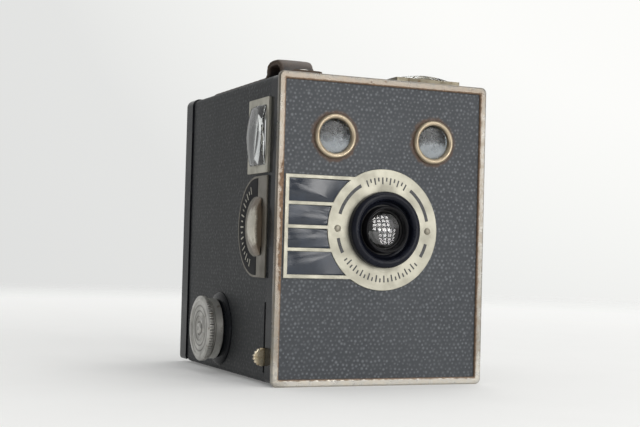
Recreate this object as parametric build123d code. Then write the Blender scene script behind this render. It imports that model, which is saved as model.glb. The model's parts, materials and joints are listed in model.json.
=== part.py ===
"""Box camera for roll film, as an assembly of separate pieces.

Frame: millimetres. Z is up, with z = 0 the surface that the camera stands on. The front faces -Y.
The origin is the centre of the underside. "Depth" is measured backwards from the face of the front rim.
The side at -X carries the winding knob, the shutter lever, the close-up slide and a finder.
"""
from build123d import *
import math
import os

# ---------------------------------------------------------------- driving dimensions
WIDTH = 81.6          # across the front rim
HEIGHT = 108.0        # underside of the front rim to its top
DEPTH = 104.3         # face of the front rim to the back
PROUD = 0.7           # how far the rim and the back's lip stand out from the covered body
SKIN = 0.6            # thickness of leatherette and of the front panel's flange
WALL = 0.8            # body sheet
GAP = 0.3             # clearance between pieces that move past each other
RUNNING = 0.06        # radial clearance of a shaft in its hole
CORNER = 2.0          # outer corner radius of the front rim
RIM_FACE = 2.6        # width of the rim seen from the front

BODY_W = WIDTH - 2 * PROUD
BODY_H = HEIGHT - 2 * PROUD
SHELL_W = BODY_W - 2 * SKIN
SHELL_H = BODY_H - 2 * SKIN
SIDE = -BODY_W / 2                 # outside of the covered side that carries the controls
TOP = HEIGHT - PROUD               # outside of the covered top
MID_Z = HEIGHT / 2
SHELL_IN_X = SHELL_W / 2 - WALL    # inside of the side walls
SHELL_IN_TOP = MID_Z + SHELL_H / 2 - WALL
SHELL_IN_BASE = MID_Z - SHELL_H / 2 + WALL

# depths of the layers behind the rim's face
FACE_COVER = 0.9      # face of the front leatherette
PLATE_FACE = 0.4      # face of the nickel lens plate
PANEL_FRONT = 1.6     # face of the pressed front panel
PANEL_BACK = PANEL_FRONT + WALL
FLANGE_END = 8.8      # rear edge of the panel's flange
SHELL_END = 101.0     # rear edge of the body shell
COVER_END = 96.0      # rear edge of the body covering
DOOR_INSIDE = 103.0   # inner face of the back
DOOR_OUTSIDE = 103.8
LIP_START = COVER_END + GAP

# optics
LENS_Z = 54.7
PLATE_R = 21.4
RING_R = 13.5
RING_WALL = 2.2       # straight outer wall of the lens ring, a seat for slip-on attachments
RING_CREST = 3.7      # how far the lens ring stands out from its plate
RIVET_X = 17.6
RIVET_SHANK = 0.7
LENS_R = 7.0
LENS_EDGE = 0.3       # depth of the lens's front edge
LENS_BACK = 1.5
TUBE_R = 8.3
BAR_LEFT = -37.5
FINDER_X = 19.3
FINDER_Z = 86.7
FINDER_GLASS_R = 6.0
FINDER_RING_R = 7.9
FINDER_DEPTH = 18.6   # where each finder's mirror turns the light
EYE_LONG = 26.4       # finder frame, along z on the side and along x on the top
EYE_SHORT = 19.8
EYE_TOP_X = 21.3
EYE_FRAME_SIDE = 1.0   # height of each finder frame above the covering
EYE_FRAME_TOP = 3.3
EYE_DOME_OVER = 2.3    # height of each domed finder lens above its frame
EYE_LENS_LONG = 21.0
EYE_LENS_SHORT = 15.0
HOUSING_T = 0.6
HOUSING_FRONT = 3.4
HOUSING_BACK = 28.6
MIRROR_LONG = 18.0
MIRROR_SHORT = 18.6
MIRROR_T = 0.8

# shutter
BOARD_FRONT = 11.6
DISC_DEPTH = 7.4
DISC_R = 20.0
DISC_PIVOT = (0.0, LENS_Z - 13.0)
LEVER_DEPTH = 9.1
LEVER_T = 1.0
LEVER_PIVOT = (-8.0, 24.0)
TAB_Z = 9.65
TAB_R = 3.15
TAB_OUT = 4.0
PIN_R = 1.5
POSTS = [(-29, 33), (29, 20), (-29, 69), (29, 69)]
POST_R = 2.4
SCREW_R = 1.1

# close-up slide
SLIDE_DEPTH = 13.4
SLIDE_T = 0.8
SLIDE_HALF = 7.1
SLIDE_TRAVEL = 17.0
PLATE_D_R = 17.85
PLATE_D_CENTRE = 19.4
PLATE_D_FRONT = 9.5
PLATE_T = 0.8
CLOSEUP_R = 5.2
PULL_BASE = SIDE - PLATE_T - GAP
PULL_R = 10.3
PULL_RISE = 2.7
ENAMEL_FRONT = 17.8
ENAMEL_DEEP = 0.4

# winder and film path
SPOOL_DEPTH = 57.0
SPOOL_Z = 16.5
SUPPLY_Z = 2 * LENS_Z - SPOOL_Z
SPOOL_R = 11.4
SPOOL_HALF = 32.75
SHAFT_R = 2.5
KNOB_R = 12.2
KNOB_DRUM_R = 11.4
KNOB_FACE = 8.3       # how far the knob's face stands out from the covered side
KNOB_T = 6.2
KNURLS = 72
BUSH_R = 6.0
CLIP_X = -35.3        # outer side of the shaft's clip
CLIP_T = 0.6
SHAFT_TIP = 2.9       # how far the shaft's tip enters the spool
KEY_LENGTH = 2.4
PIVOT_R = 1.9
CARRIER_X = 33.5      # inside of the carrier's side plates
CARRIER_FRONT = 31.0
GATE_DEPTH = 93.0
FRAME_W = 57.0
FRAME_H = 83.0
ROLLER_R = 3.5
ROLLER_DEPTH = 91.0
ROLLER_OFFSET = 46.5
AXLE_R = 1.0
CONE_FRONT = 20.0
CONE_NOSE = 14.6
CONE_WALL = 0.8
CARRIER_BASE = 3.6
CARRIER_TOP = 104.6

# back
HINGE_DEPTH = 102.6
HINGE_Z = 2.2
HINGE_R = 1.2
HINGE_PIN_R = 0.6
HINGE_HALF = 30.0
KNUCKLES = 5
KNUCKLE_GAP = 0.2
LEAF_T = 0.6
LIP_IN_W = SHELL_W + 2 * GAP
DOOR_BASE = HINGE_Z + HINGE_R + GAP + 0.1
WINDOW_X = -20.0
WINDOW_Z = 33.0
WINDOW_R = 6.5
BEZEL_R = 8.4
PLATE_BACKING = 96.6   # front of the pressure plate
CATCH_DEPTH = 98.6
CATCH_R = 1.6

# handle and feet
STRAP_X = -27.5
STRAP_W = 12.6
STRAP_T = 2.0
STUD_FRONT = 11.6
STUD_REAR = 86.0
STUD_R = 1.6
STRAP_FLAT = TOP + 0.5
FOOT_R = 3.0
SOCKET_R = 5.0
SOCKET_DEPTH = 39.0
SIDE_SOCKET_DEPTH = 50.0
THREAD_R = 2.55       # wall of a quarter inch tripod thread


# ---------------------------------------------------------------- small helpers
def y_at(depth):
    """Y of the plane at this depth behind the face of the rim."""
    return depth - DEPTH / 2


def block(x0, x1, d0, d1, z0, z1):
    """Box between two corners; the middle pair are depths."""
    centre = Pos((x0 + x1) / 2, y_at((d0 + d1) / 2), (z0 + z1) / 2)
    return centre * Box(x1 - x0, d1 - d0, z1 - z0)


def rod_y(radius, d0, d1, x, z):
    """Cylinder along Y."""
    return Pos(x, y_at((d0 + d1) / 2), z) * Rot(90, 0, 0) * Cylinder(radius, d1 - d0)


def rod_x(radius, x0, x1, depth, z):
    """Cylinder along X."""
    return Pos((x0 + x1) / 2, y_at(depth), z) * Rot(0, 90, 0) * Cylinder(radius, x1 - x0)


def rod_z(radius, z0, z1, x, depth):
    """Cylinder along Z."""
    return Pos(x, y_at(depth), (z0 + z1) / 2) * Cylinder(radius, z1 - z0)


def turned_y(profile, x, z):
    """Solid turned about an axis along Y; profile points are (radius, depth)."""
    points = [(radius, y_at(depth)) for radius, depth in profile]
    return Pos(x, 0, z) * revolve(make_face(Polyline(points, close=True)), Axis.Y)


def turned_x(profile, depth, z):
    """Solid turned about an axis along X; profile points are (x, radius)."""
    return Pos(0, y_at(depth), z) * revolve(make_face(Polyline(profile, close=True)), Axis.X)


def prism_y(sketch, d0, d1):
    """Sketch drawn in x and z, made solid from depth d0 to d1."""
    return Pos(0, y_at(d1), 0) * extrude(Plane.XZ * sketch, amount=d1 - d0)


def sleeve(width, height, corner, wall, d0, d1):
    """Open tube of rounded rectangular section, centred on the camera's middle."""
    outer = Pos(0, MID_Z) * RectangleRounded(width, height, corner)
    inner_corner = max(corner - wall, 0.3)
    inner = Pos(0, MID_Z) * RectangleRounded(width - 2 * wall, height - 2 * wall, inner_corner)
    return prism_y(outer - inner, d0, d1)


def dome(length_a, length_b, height, rise):
    """Rectangular block on the XY plane whose top bulges by this rise over its diagonal."""
    half_diagonal = math.hypot(length_a, length_b) / 2
    radius = (half_diagonal ** 2 + rise ** 2) / (2 * rise)
    ball = Pos(0, 0, height - radius) * Sphere(radius)
    return ball & (Pos(0, 0, height / 2) * Box(length_a, length_b, height))


def spring_coil(radius, wire, turns, pitch):
    """Close helical spring along Z, starting at the origin's level."""
    path = Helix(pitch, pitch * turns, radius)
    section = Plane(origin=path @ 0, z_dir=path % 0) * Circle(wire / 2)
    return sweep(section, path=path)


# ---------------------------------------------------------------- outlines used more than once
def plate_outline():
    """Lens plate: a disc with a barred panel that reaches to the left edge."""
    panel_top = 72.85
    panel_base = 37.1
    panel = Pos(BAR_LEFT / 2, (panel_top + panel_base) / 2) * Rectangle(-BAR_LEFT, panel_top - panel_base)
    return panel + Pos(0, LENS_Z) * Circle(PLATE_R)


def plate_windows():
    """The four windows between the bars, as far as the lens plate's ring."""
    bar = 1.25
    edge = 1.4
    centres = [72.2, 63.0, 54.9, 47.0, 37.8]
    windows = []
    for upper, lower in zip(centres, centres[1:]):
        z1 = upper - bar / 2
        z0 = lower + bar / 2
        x0 = BAR_LEFT + edge
        window = Pos(x0 / 2, (z0 + z1) / 2) * Rectangle(-x0, z1 - z0)
        windows.append(window - Pos(0, LENS_Z) * Circle(PLATE_R))
    return windows


def knob_outline_x(profile):
    """Profile points given as (distance out from the covered side, radius)."""
    return turned_x([(SIDE - out, radius) for out, radius in profile], SPOOL_DEPTH, SPOOL_Z)


def slide_slot(x0, x1):
    """Slot that the close-up slide passes through."""
    return block(x0, x1, SLIDE_DEPTH - GAP, SLIDE_DEPTH + SLIDE_T + GAP,
                 LENS_Z - SLIDE_HALF - GAP, LENS_Z + SLIDE_HALF + GAP)


def lever_slot(x0, x1):
    """Slot that the shutter lever passes through and sweeps along."""
    return block(x0, x1, FLANGE_END, LEVER_DEPTH + LEVER_T + GAP, 4.2, 28.5)


def eye_hole_side(x0, x1):
    """Opening for the light of the side finder."""
    return block(x0, x1, FINDER_DEPTH - 7.5, FINDER_DEPTH + 7.5, FINDER_Z - 9.5, FINDER_Z + 9.5)


def eye_hole_top(z0, z1):
    """Opening for the light of the top finder."""
    return block(EYE_TOP_X - 9.5, EYE_TOP_X + 9.5, FINDER_DEPTH - 7.5, FINDER_DEPTH + 7.5, z0, z1)


def wall_openings():
    """Everything that is cut through the shell and its covering alike."""
    reach = WALL + SKIN + 2
    return [
        slide_slot(SIDE - 1, SIDE + reach),
        lever_slot(SIDE - 1, SIDE + reach),
        eye_hole_side(SIDE - 1, SIDE + reach),
        eye_hole_top(TOP - reach, TOP + 1),
        rod_x(BUSH_R, SIDE - 1, SIDE + reach, SPOOL_DEPTH, SPOOL_Z),
        rod_z(SOCKET_R, -1, PROUD + reach, 0, SOCKET_DEPTH),
        rod_x(SOCKET_R, -SIDE - reach, -SIDE + 1, SIDE_SOCKET_DEPTH, MID_Z),
        rod_z(STUD_R, TOP - reach, TOP + 1, STRAP_X, STUD_FRONT),
        rod_z(STUD_R, TOP - reach, TOP + 1, STRAP_X, STUD_REAR),
    ]


# ---------------------------------------------------------------- body
def make_body_shell():
    shell = sleeve(SHELL_W, SHELL_H, 1.4, WALL, PANEL_BACK, SHELL_END)
    for cut in wall_openings():
        shell -= cut
    return shell - rod_z(CATCH_R, SHELL_IN_TOP - 1, TOP, 0, CATCH_DEPTH)


def make_body_covering():
    covering = sleeve(BODY_W, BODY_H, 2.0, SKIN, FLANGE_END, COVER_END)
    for cut in wall_openings():
        covering -= cut
    return covering


def make_front_panel():
    face = Pos(0, MID_Z) * RectangleRounded(BODY_W, BODY_H, 2.0)
    panel = prism_y(face, PANEL_FRONT, PANEL_BACK)
    panel += sleeve(BODY_W, BODY_H, 2.0, SKIN, PANEL_BACK, FLANGE_END)
    panel -= rod_y(TUBE_R, 0, PANEL_BACK + 1, 0, LENS_Z)
    for x in (-FINDER_X, FINDER_X):
        panel -= rod_y(FINDER_GLASS_R + 0.9, 0, PANEL_BACK + 1, x, FINDER_Z)
    for x in (-RIVET_X, RIVET_X):
        panel -= rod_y(RIVET_SHANK, 0, PANEL_BACK + 1, x, LENS_Z)
    return panel


def make_front_rim():
    rim = sleeve(WIDTH, HEIGHT, CORNER, RIM_FACE, 0, PANEL_FRONT)
    face_edges = rim.edges().group_by(Axis.Y)[0]
    return fillet(face_edges, 0.6)


def make_front_covering():
    width = WIDTH - 2 * RIM_FACE
    height = HEIGHT - 2 * RIM_FACE
    sheet = Pos(0, MID_Z) * RectangleRounded(width, height, 0.3)
    sheet -= plate_outline()
    for x in (-FINDER_X, FINDER_X):
        sheet -= Pos(x, FINDER_Z) * Circle(FINDER_GLASS_R + 0.9)
    return prism_y(sheet, FACE_COVER, PANEL_FRONT)


# ---------------------------------------------------------------- lens plate and lens
def make_lens_plate():
    plate = prism_y(plate_outline(), PLATE_FACE, PANEL_FRONT)
    for window in plate_windows():
        plate -= prism_y(window, PLATE_FACE - 1, PANEL_FRONT + 1)
    plate -= rod_y(TUBE_R, 0, PANEL_FRONT + 1, 0, LENS_Z)
    for x in (-RIVET_X, RIVET_X):
        plate -= rod_y(RIVET_SHANK, 0, PANEL_FRONT + 1, x, LENS_Z)
    return plate


def make_plate_enamel():
    return Compound([prism_y(window, PLATE_FACE + 0.35, PANEL_FRONT) for window in plate_windows()])


def make_plate_rivets():
    rivets = []
    for x in (-RIVET_X, RIVET_X):
        shank = rod_y(RIVET_SHANK, PLATE_FACE, PANEL_BACK + 0.5, x, LENS_Z)
        ball_r = 1.45
        head = Pos(x, y_at(PLATE_FACE) + 0.75, LENS_Z) * Sphere(ball_r)
        head &= rod_y(2.0, PLATE_FACE - 2, PLATE_FACE, x, LENS_Z)
        rivets.append(shank + head)
    return Compound(rivets)


def make_lens_ring():
    face = PLATE_FACE
    crest = face - RING_CREST
    profile = [
        (RING_R, face), (RING_R, face - RING_WALL), (RING_R - 0.35, face - RING_WALL - 0.8),
        (RING_R - 1.0, crest + 0.2), (RING_R - 1.7, crest), (RING_R - 2.4, crest + 0.2),
        (RING_R - 3.0, crest + 0.8), (TUBE_R + 1.6, face - 0.9), (TUBE_R + 0.6, face - 0.6),
        (TUBE_R + 0.6, face),
    ]
    return turned_y(profile, 0, LENS_Z)


def make_lens_tube():
    crest = PLATE_FACE - RING_CREST
    profile = [
        (TUBE_R, PANEL_BACK), (TUBE_R, crest + 0.3), (TUBE_R - 0.3, crest), (TUBE_R - 0.8, crest),
        (LENS_R, crest + 1.2), (LENS_R, LENS_BACK), (LENS_R - 0.9, LENS_BACK),
        (LENS_R - 0.9, PANEL_BACK + 1.0),
        (TUBE_R + 3.0, PANEL_BACK + 1.0), (TUBE_R + 3.0, PANEL_BACK),
    ]
    return turned_y(profile, 0, LENS_Z)


def make_taking_lens():
    rise = 1.7
    radius = (LENS_R ** 2 + rise ** 2) / (2 * rise)
    ball = Pos(0, y_at(LENS_EDGE) - rise + radius, LENS_Z) * Sphere(radius)
    front = ball & rod_y(LENS_R, LENS_EDGE - rise - 1, LENS_EDGE, 0, LENS_Z)
    edge = rod_y(LENS_R, LENS_EDGE, LENS_BACK, 0, LENS_Z)
    return front + edge


def make_lens_retainer():
    face = LENS_EDGE
    return turned_y([(LENS_R, face), (LENS_R, face - 0.8), (LENS_R - 0.5, face - 0.8),
                     (LENS_R - 0.5, face - 0.3)], 0, LENS_Z)


# ---------------------------------------------------------------- finders
def finder_ring(x):
    face = FACE_COVER
    hole = FINDER_GLASS_R
    profile = [
        (hole, face - 0.6), (hole + 0.4, face - 1.3), (hole + 1.0, face - 1.6), (hole + 1.5, face - 1.3),
        (FINDER_RING_R, face - 0.5), (FINDER_RING_R, face), (hole + 0.9, face),
        (hole + 0.9, PANEL_BACK + 0.6), (hole, PANEL_BACK + 0.6),
    ]
    return turned_y(profile, x, FINDER_Z)


def make_finder_rings():
    return Compound([finder_ring(x) for x in (-FINDER_X, FINDER_X)])


def finder_front_lens(x):
    edge = 1.2
    rise = 0.9
    radius = (FINDER_GLASS_R ** 2 + rise ** 2) / (2 * rise)
    ball = Pos(x, y_at(edge) - rise + radius, FINDER_Z) * Sphere(radius)
    front = ball & rod_y(FINDER_GLASS_R, edge - 3, edge, x, FINDER_Z)
    return front + rod_y(FINDER_GLASS_R, edge, PANEL_BACK + 0.6, x, FINDER_Z)


def make_finder_front_lenses():
    return Compound([finder_front_lens(x) for x in (-FINDER_X, FINDER_X)])


def make_housing_side():
    inner_x = -11.0
    outer = block(-SHELL_IN_X, inner_x, HOUSING_FRONT, HOUSING_BACK, FINDER_Z - 10.4, FINDER_Z + 10.4)
    hollow = block(-SHELL_IN_X - 1, inner_x - HOUSING_T, HOUSING_FRONT + HOUSING_T, HOUSING_BACK - HOUSING_T,
                   FINDER_Z - 10.4 + HOUSING_T, FINDER_Z + 10.4 - HOUSING_T)
    window = rod_y(FINDER_GLASS_R + 0.6, HOUSING_FRONT - 1, HOUSING_FRONT + 2, -FINDER_X, FINDER_Z)
    return outer - hollow - window


def make_housing_top():
    x0 = EYE_TOP_X - 10.4
    x1 = EYE_TOP_X + 10.4
    outer = block(x0, x1, HOUSING_FRONT, HOUSING_BACK, FINDER_Z - 8.5, SHELL_IN_TOP)
    hollow = block(x0 + HOUSING_T, x1 - HOUSING_T, HOUSING_FRONT + HOUSING_T, HOUSING_BACK - HOUSING_T,
                   FINDER_Z - 8.5 + HOUSING_T, SHELL_IN_TOP + 1)
    window = rod_y(FINDER_GLASS_R + 0.6, HOUSING_FRONT - 1, HOUSING_FRONT + 2, FINDER_X, FINDER_Z)
    return outer - hollow - window


def make_finder_mirrors():
    """One mirror turns the light out to the side, the other turns it up to the top."""
    depth = y_at(FINDER_DEPTH - 3.0)
    to_the_side = Pos(-FINDER_X, depth, FINDER_Z) * Rot(0, 0, 45) * Box(MIRROR_T, MIRROR_SHORT, MIRROR_LONG)
    to_the_top = Pos(EYE_TOP_X, depth, FINDER_Z) * Rot(45, 0, 0) * Box(MIRROR_LONG, MIRROR_SHORT, MIRROR_T)
    return Compound([to_the_side, to_the_top])


def eye_frame(height):
    """Finder frame standing on the XY plane, with its long side along Y."""
    frame = extrude(RectangleRounded(EYE_SHORT - 0.2, EYE_LONG, 0.6), amount=height)
    return frame - Pos(0, 0, height / 2) * Box(EYE_LENS_SHORT, EYE_LENS_LONG, 2 * height)


def eye_lens(height):
    return dome(EYE_LENS_SHORT, EYE_LENS_LONG, height, EYE_DOME_OVER)


def to_side(solid):
    """From the XY plane to the covered side: local Z points out, local X points to the back."""
    origin = (SIDE, y_at(FINDER_DEPTH + 0.1), FINDER_Z)
    return Plane(origin=origin, x_dir=(0, -1, 0), z_dir=(-1, 0, 0)) * solid


def to_top(solid):
    """From the XY plane to the covered top: local X points to the back, local Y across."""
    origin = (EYE_TOP_X, y_at(FINDER_DEPTH + 0.1), TOP)
    return Plane(origin=origin, x_dir=(0, 1, 0), z_dir=(0, 0, 1)) * solid


# ---------------------------------------------------------------- shutter
def make_shutter_board():
    board = block(-32, 32, BOARD_FRONT, BOARD_FRONT + WALL, 16, 73)
    board -= rod_y(6.0, BOARD_FRONT - 1, BOARD_FRONT + 2, 0, LENS_Z)
    for x, z in POSTS:
        board -= rod_y(SCREW_R, BOARD_FRONT - 1, BOARD_FRONT + 2, x, z)
    return board


def make_shutter_posts():
    posts = []
    for x, z in POSTS:
        post = rod_y(POST_R, PANEL_BACK, BOARD_FRONT, x, z)
        posts.append(post - rod_y(SCREW_R, BOARD_FRONT - 5, BOARD_FRONT + 1, x, z))
    return Compound(posts)


def make_shutter_screws():
    back = BOARD_FRONT + WALL
    screws = []
    for x, z in POSTS:
        shank = rod_y(SCREW_R, BOARD_FRONT - 4, back, x, z)
        head = rod_y(2.0, back, back + 1.0, x, z)
        slot = block(x - 2.2, x + 2.2, back + 0.5, back + 1.2, z - 0.25, z + 0.25)
        screws.append(shank + head - slot)
    return Compound(screws)


def make_pivot_pins():
    """Headed pins, fixed in the board, that the disc and the lever turn on."""
    pins = []
    for (x, z), depth in ((DISC_PIVOT, DISC_DEPTH), (LEVER_PIVOT, LEVER_DEPTH)):
        pin = rod_y(PIN_R, depth - 0.3, BOARD_FRONT, x, z)
        head = rod_y(PIN_R + 1.0, depth - 0.8, depth - 0.3, x, z)
        pins.append(pin + head)
    return Compound(pins)


def make_shutter_disc():
    x, z = DISC_PIVOT
    disc = rod_y(DISC_R, DISC_DEPTH, DISC_DEPTH + 0.6, x, z)
    disc -= rod_y(PIN_R + RUNNING, DISC_DEPTH - 1, DISC_DEPTH + 2, x, z)
    window_turn = math.radians(30.0)
    reach = LENS_Z - z
    wx = x + reach * math.sin(window_turn)
    wz = z + reach * math.cos(window_turn)
    return disc - rod_y(5.0, DISC_DEPTH - 1, DISC_DEPTH + 2, wx, wz)


def make_shutter_lever():
    """Flat arm from its pivot to the serrated thumb tab outside the slot."""
    px, pz = LEVER_PIVOT
    tab_x = SIDE - TAB_OUT + TAB_R
    hub = Pos(px, pz) * Circle(4.0)
    tip = Pos(tab_x, TAB_Z) * Circle(TAB_R)
    for step in range(-3, 4):
        turn = math.radians(180 + 24 * step)
        tip -= Pos(tab_x + TAB_R * math.cos(turn), TAB_Z + TAB_R * math.sin(turn)) * Circle(0.35)
    length = math.hypot(tab_x - px, TAB_Z - pz)
    turn = math.degrees(math.atan2(TAB_Z - pz, tab_x - px))
    arm = Pos(px, pz) * Rot(0, 0, turn) * Pos(length / 2, 0) * Rectangle(length, 4.4)
    sketch = hub + arm + tip
    lever = prism_y(sketch, LEVER_DEPTH, LEVER_DEPTH + LEVER_T)
    return lever - rod_y(PIN_R + RUNNING, LEVER_DEPTH - 1, LEVER_DEPTH + 2, px, pz)


def make_shutter_spring():
    """Coil round the disc's pivot, behind the disc, with its tail hooked on the board."""
    x, z = DISC_PIVOT
    coil = spring_coil(3.0, 0.5, 3, 0.7)
    coil = Pos(x, y_at(DISC_DEPTH + 1.1), z) * Rot(-90, 0, 0) * coil
    return coil


# ---------------------------------------------------------------- close-up slide
def make_slide_guides():
    back = BOARD_FRONT + WALL
    guides = []
    for side in (-1, 1):
        edge = LENS_Z + side * (SLIDE_HALF + GAP)
        outer = LENS_Z + side * (SLIDE_HALF + 2.8)
        lip = LENS_Z + side * (SLIDE_HALF - 1.2)
        rail = block(-31, 31, back, back + 3.4, min(edge, outer), max(edge, outer))
        rail += block(-31, 31, back + 2.5, back + 3.4, min(lip, outer), max(lip, outer))
        guides.append(rail)
    return Compound(guides)


def make_closeup_slide():
    x1 = SLIDE_TRAVEL + CLOSEUP_R + 6.5
    slide = block(PULL_BASE - 0.4, x1, SLIDE_DEPTH, SLIDE_DEPTH + SLIDE_T,
                  LENS_Z - SLIDE_HALF, LENS_Z + SLIDE_HALF)
    slide -= rod_y(5.8, SLIDE_DEPTH - 1, SLIDE_DEPTH + 2, 0, LENS_Z)
    slide -= rod_y(CLOSEUP_R, SLIDE_DEPTH - 1, SLIDE_DEPTH + 2, SLIDE_TRAVEL, LENS_Z)
    return slide + pull_tab()


def pull_tab():
    """Half-shell grip: a low cap, cut off by a flat face towards the front."""
    radius = (PULL_R ** 2 + PULL_RISE ** 2) / (2 * PULL_RISE)
    centre_depth = PLATE_D_CENTRE - 2.9
    ball = Pos(PULL_BASE - PULL_RISE + radius, y_at(centre_depth), LENS_Z) * Sphere(radius)
    room = block(PULL_BASE - PULL_RISE - 1, PULL_BASE, SLIDE_DEPTH, centre_depth + PULL_R + 1,
                 LENS_Z - PULL_R - 1, LENS_Z + PULL_R + 1)
    return ball & room


def make_closeup_lens():
    return rod_y(CLOSEUP_R, SLIDE_DEPTH - 0.1, SLIDE_DEPTH + SLIDE_T + 0.1, SLIDE_TRAVEL, LENS_Z)


def half_round(radius, d0, x0, x1):
    """D-shaped plate on the side: straight from depth d0 to the centre, then half a circle."""
    disc = rod_x(radius, x0, x1, PLATE_D_CENTRE, LENS_Z)
    disc &= block(x0 - 1, x1 + 1, PLATE_D_CENTRE, PLATE_D_CENTRE + radius + 1, LENS_Z - radius - 1,
                  LENS_Z + radius + 1)
    if d0 < PLATE_D_CENTRE:
        disc += block(x0, x1, d0, PLATE_D_CENTRE, LENS_Z - radius, LENS_Z + radius)
    return disc


def enamel_arc(x0, x1):
    """Half ring of black enamel round the pull tab."""
    arc = half_round(PLATE_D_R - 0.75, ENAMEL_FRONT, x0, x1)
    return arc - rod_x(PULL_R + 0.3, x0 - 1, x1 + 1, PLATE_D_CENTRE, LENS_Z)


def make_slide_plate():
    plate = half_round(PLATE_D_R, PLATE_D_FRONT, SIDE - PLATE_T, SIDE)
    plate -= enamel_arc(SIDE - PLATE_T - 1, SIDE - PLATE_T + ENAMEL_DEEP)
    return plate - slide_slot(SIDE - 2, SIDE + 1)


def make_slide_enamel():
    return enamel_arc(SIDE - PLATE_T + 0.05, SIDE - PLATE_T + ENAMEL_DEEP)


# ---------------------------------------------------------------- winder
def make_winding_seat():
    """Black pressed seat with the bush that the shaft turns in."""
    bush = SKIN + WALL
    seat = knob_outline_x([(1.9, SHAFT_R + RUNNING), (1.9, 9.5), (1.4, 11.6),
                           (0.9, 13.2), (0.4, 13.8), (0, 13.8), (0, BUSH_R), (-bush, BUSH_R),
                           (-bush, SHAFT_R + RUNNING)])
    return seat


def make_winding_knob():
    face = KNOB_FACE
    back = KNOB_FACE - KNOB_T
    knob = knob_outline_x([
        (back, SHAFT_R), (back, KNOB_DRUM_R - 0.4), (back + 0.4, KNOB_DRUM_R), (face - 3.2, KNOB_DRUM_R),
        (face - 3.0, KNOB_DRUM_R - 0.6), (face - 2.5, KNOB_DRUM_R - 0.6), (face - 2.3, KNOB_R - 0.3),
        (face - 2.0, KNOB_R), (face - 0.5, KNOB_R), (face - 0.1, KNOB_R - 0.6), (face, KNOB_R - 1.2),
        (face, KNOB_R - 1.8), (face - 0.35, KNOB_R - 2.1), (face - 0.35, 5.2), (face, 4.9), (face, 4.3),
        (face - 0.35, 4.0), (face - 0.35, 2.2), (face + 0.2, 1.8), (face + 0.35, 0), (face - 1.4, 0),
        (face - 1.4, SHAFT_R),
    ])
    groove = block(SIDE - face + 0.45, SIDE - face + 2.1, SPOOL_DEPTH - 0.18, SPOOL_DEPTH + 0.18,
                   SPOOL_Z + KNOB_R - 0.35, SPOOL_Z + KNOB_R + 1)
    centre = (0, y_at(SPOOL_DEPTH), SPOOL_Z)
    grooves = [groove.rotate(Axis(centre, (1, 0, 0)), 360 / KNURLS * step) for step in range(KNURLS)]
    return knob - grooves


def make_winding_shaft():
    face = SIDE - KNOB_FACE
    shoulder = -SPOOL_HALF - GAP
    shaft = rod_x(SHAFT_R, face + 1.4, shoulder, SPOOL_DEPTH, SPOOL_Z)
    tip = rod_x(1.9, shoulder, shoulder + GAP + SHAFT_TIP, SPOOL_DEPTH, SPOOL_Z)
    key = block(shoulder, shoulder + KEY_LENGTH, SPOOL_DEPTH - 0.5, SPOOL_DEPTH + 0.5,
                SPOOL_Z - 3.2, SPOOL_Z + 3.2)
    x0 = CLIP_X
    x1 = CLIP_X + CLIP_T + 0.2
    floor = SHAFT_R - 0.5
    rim = SHAFT_R + 1
    clip_groove = turned_x([(x0, floor), (x0, rim), (x1, rim), (x1, floor)], SPOOL_DEPTH, SPOOL_Z)
    return shaft + tip + key - clip_groove


def make_shaft_clip():
    """Flat clip in the shaft's groove: it slides with the shaft and doesn't turn."""
    x0 = CLIP_X + 0.1
    clip = block(x0, x0 + CLIP_T, SPOOL_DEPTH - 5, SPOOL_DEPTH + 5, SPOOL_Z - 4, SPOOL_Z + 4)
    return clip - rod_x(SHAFT_R - 0.5 + RUNNING, x0 - 1, x0 + 2, SPOOL_DEPTH, SPOOL_Z)


def make_take_up_spool():
    core = rod_x(4.0, -SPOOL_HALF, SPOOL_HALF, SPOOL_DEPTH, SPOOL_Z)
    for x0 in (-SPOOL_HALF, SPOOL_HALF - 0.8):
        core += rod_x(SPOOL_R, x0, x0 + 0.8, SPOOL_DEPTH, SPOOL_Z)
    core -= rod_x(2.1, -SPOOL_HALF - 1, -SPOOL_HALF + SHAFT_TIP + 0.8, SPOOL_DEPTH, SPOOL_Z)
    core -= rod_x(PIVOT_R + RUNNING, SPOOL_HALF - 4, SPOOL_HALF + 1, SPOOL_DEPTH, SPOOL_Z)
    core -= block(-SPOOL_HALF - 1, -SPOOL_HALF + 2.6, SPOOL_DEPTH - 0.75, SPOOL_DEPTH + 0.75,
                  SPOOL_Z - 3.6, SPOOL_Z + 3.6)
    core -= block(-3, 3, SPOOL_DEPTH - 0.6, SPOOL_DEPTH + 0.6, SPOOL_Z - 5, SPOOL_Z + 5)
    return core


# ---------------------------------------------------------------- film carrier


def frustum(nose, rear_w, rear_h, d0, d1):
    """Four-sided taper that widens towards the back."""
    front = Plane(origin=(0, y_at(d0), LENS_Z), x_dir=(1, 0, 0), z_dir=(0, 1, 0)) * Rectangle(nose, nose)
    rear = Plane(origin=(0, y_at(d1), LENS_Z), x_dir=(1, 0, 0), z_dir=(0, 1, 0)) * Rectangle(rear_w, rear_h)
    return loft([front, rear])


def cone_outside():
    return frustum(CONE_NOSE, FRAME_W + 2 * CONE_WALL, FRAME_H + 2 * CONE_WALL, CONE_FRONT, GATE_DEPTH)


def make_light_cone():
    inner = frustum(CONE_NOSE - 2 * CONE_WALL, FRAME_W, FRAME_H, CONE_FRONT, GATE_DEPTH)
    return cone_outside() - inner


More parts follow.
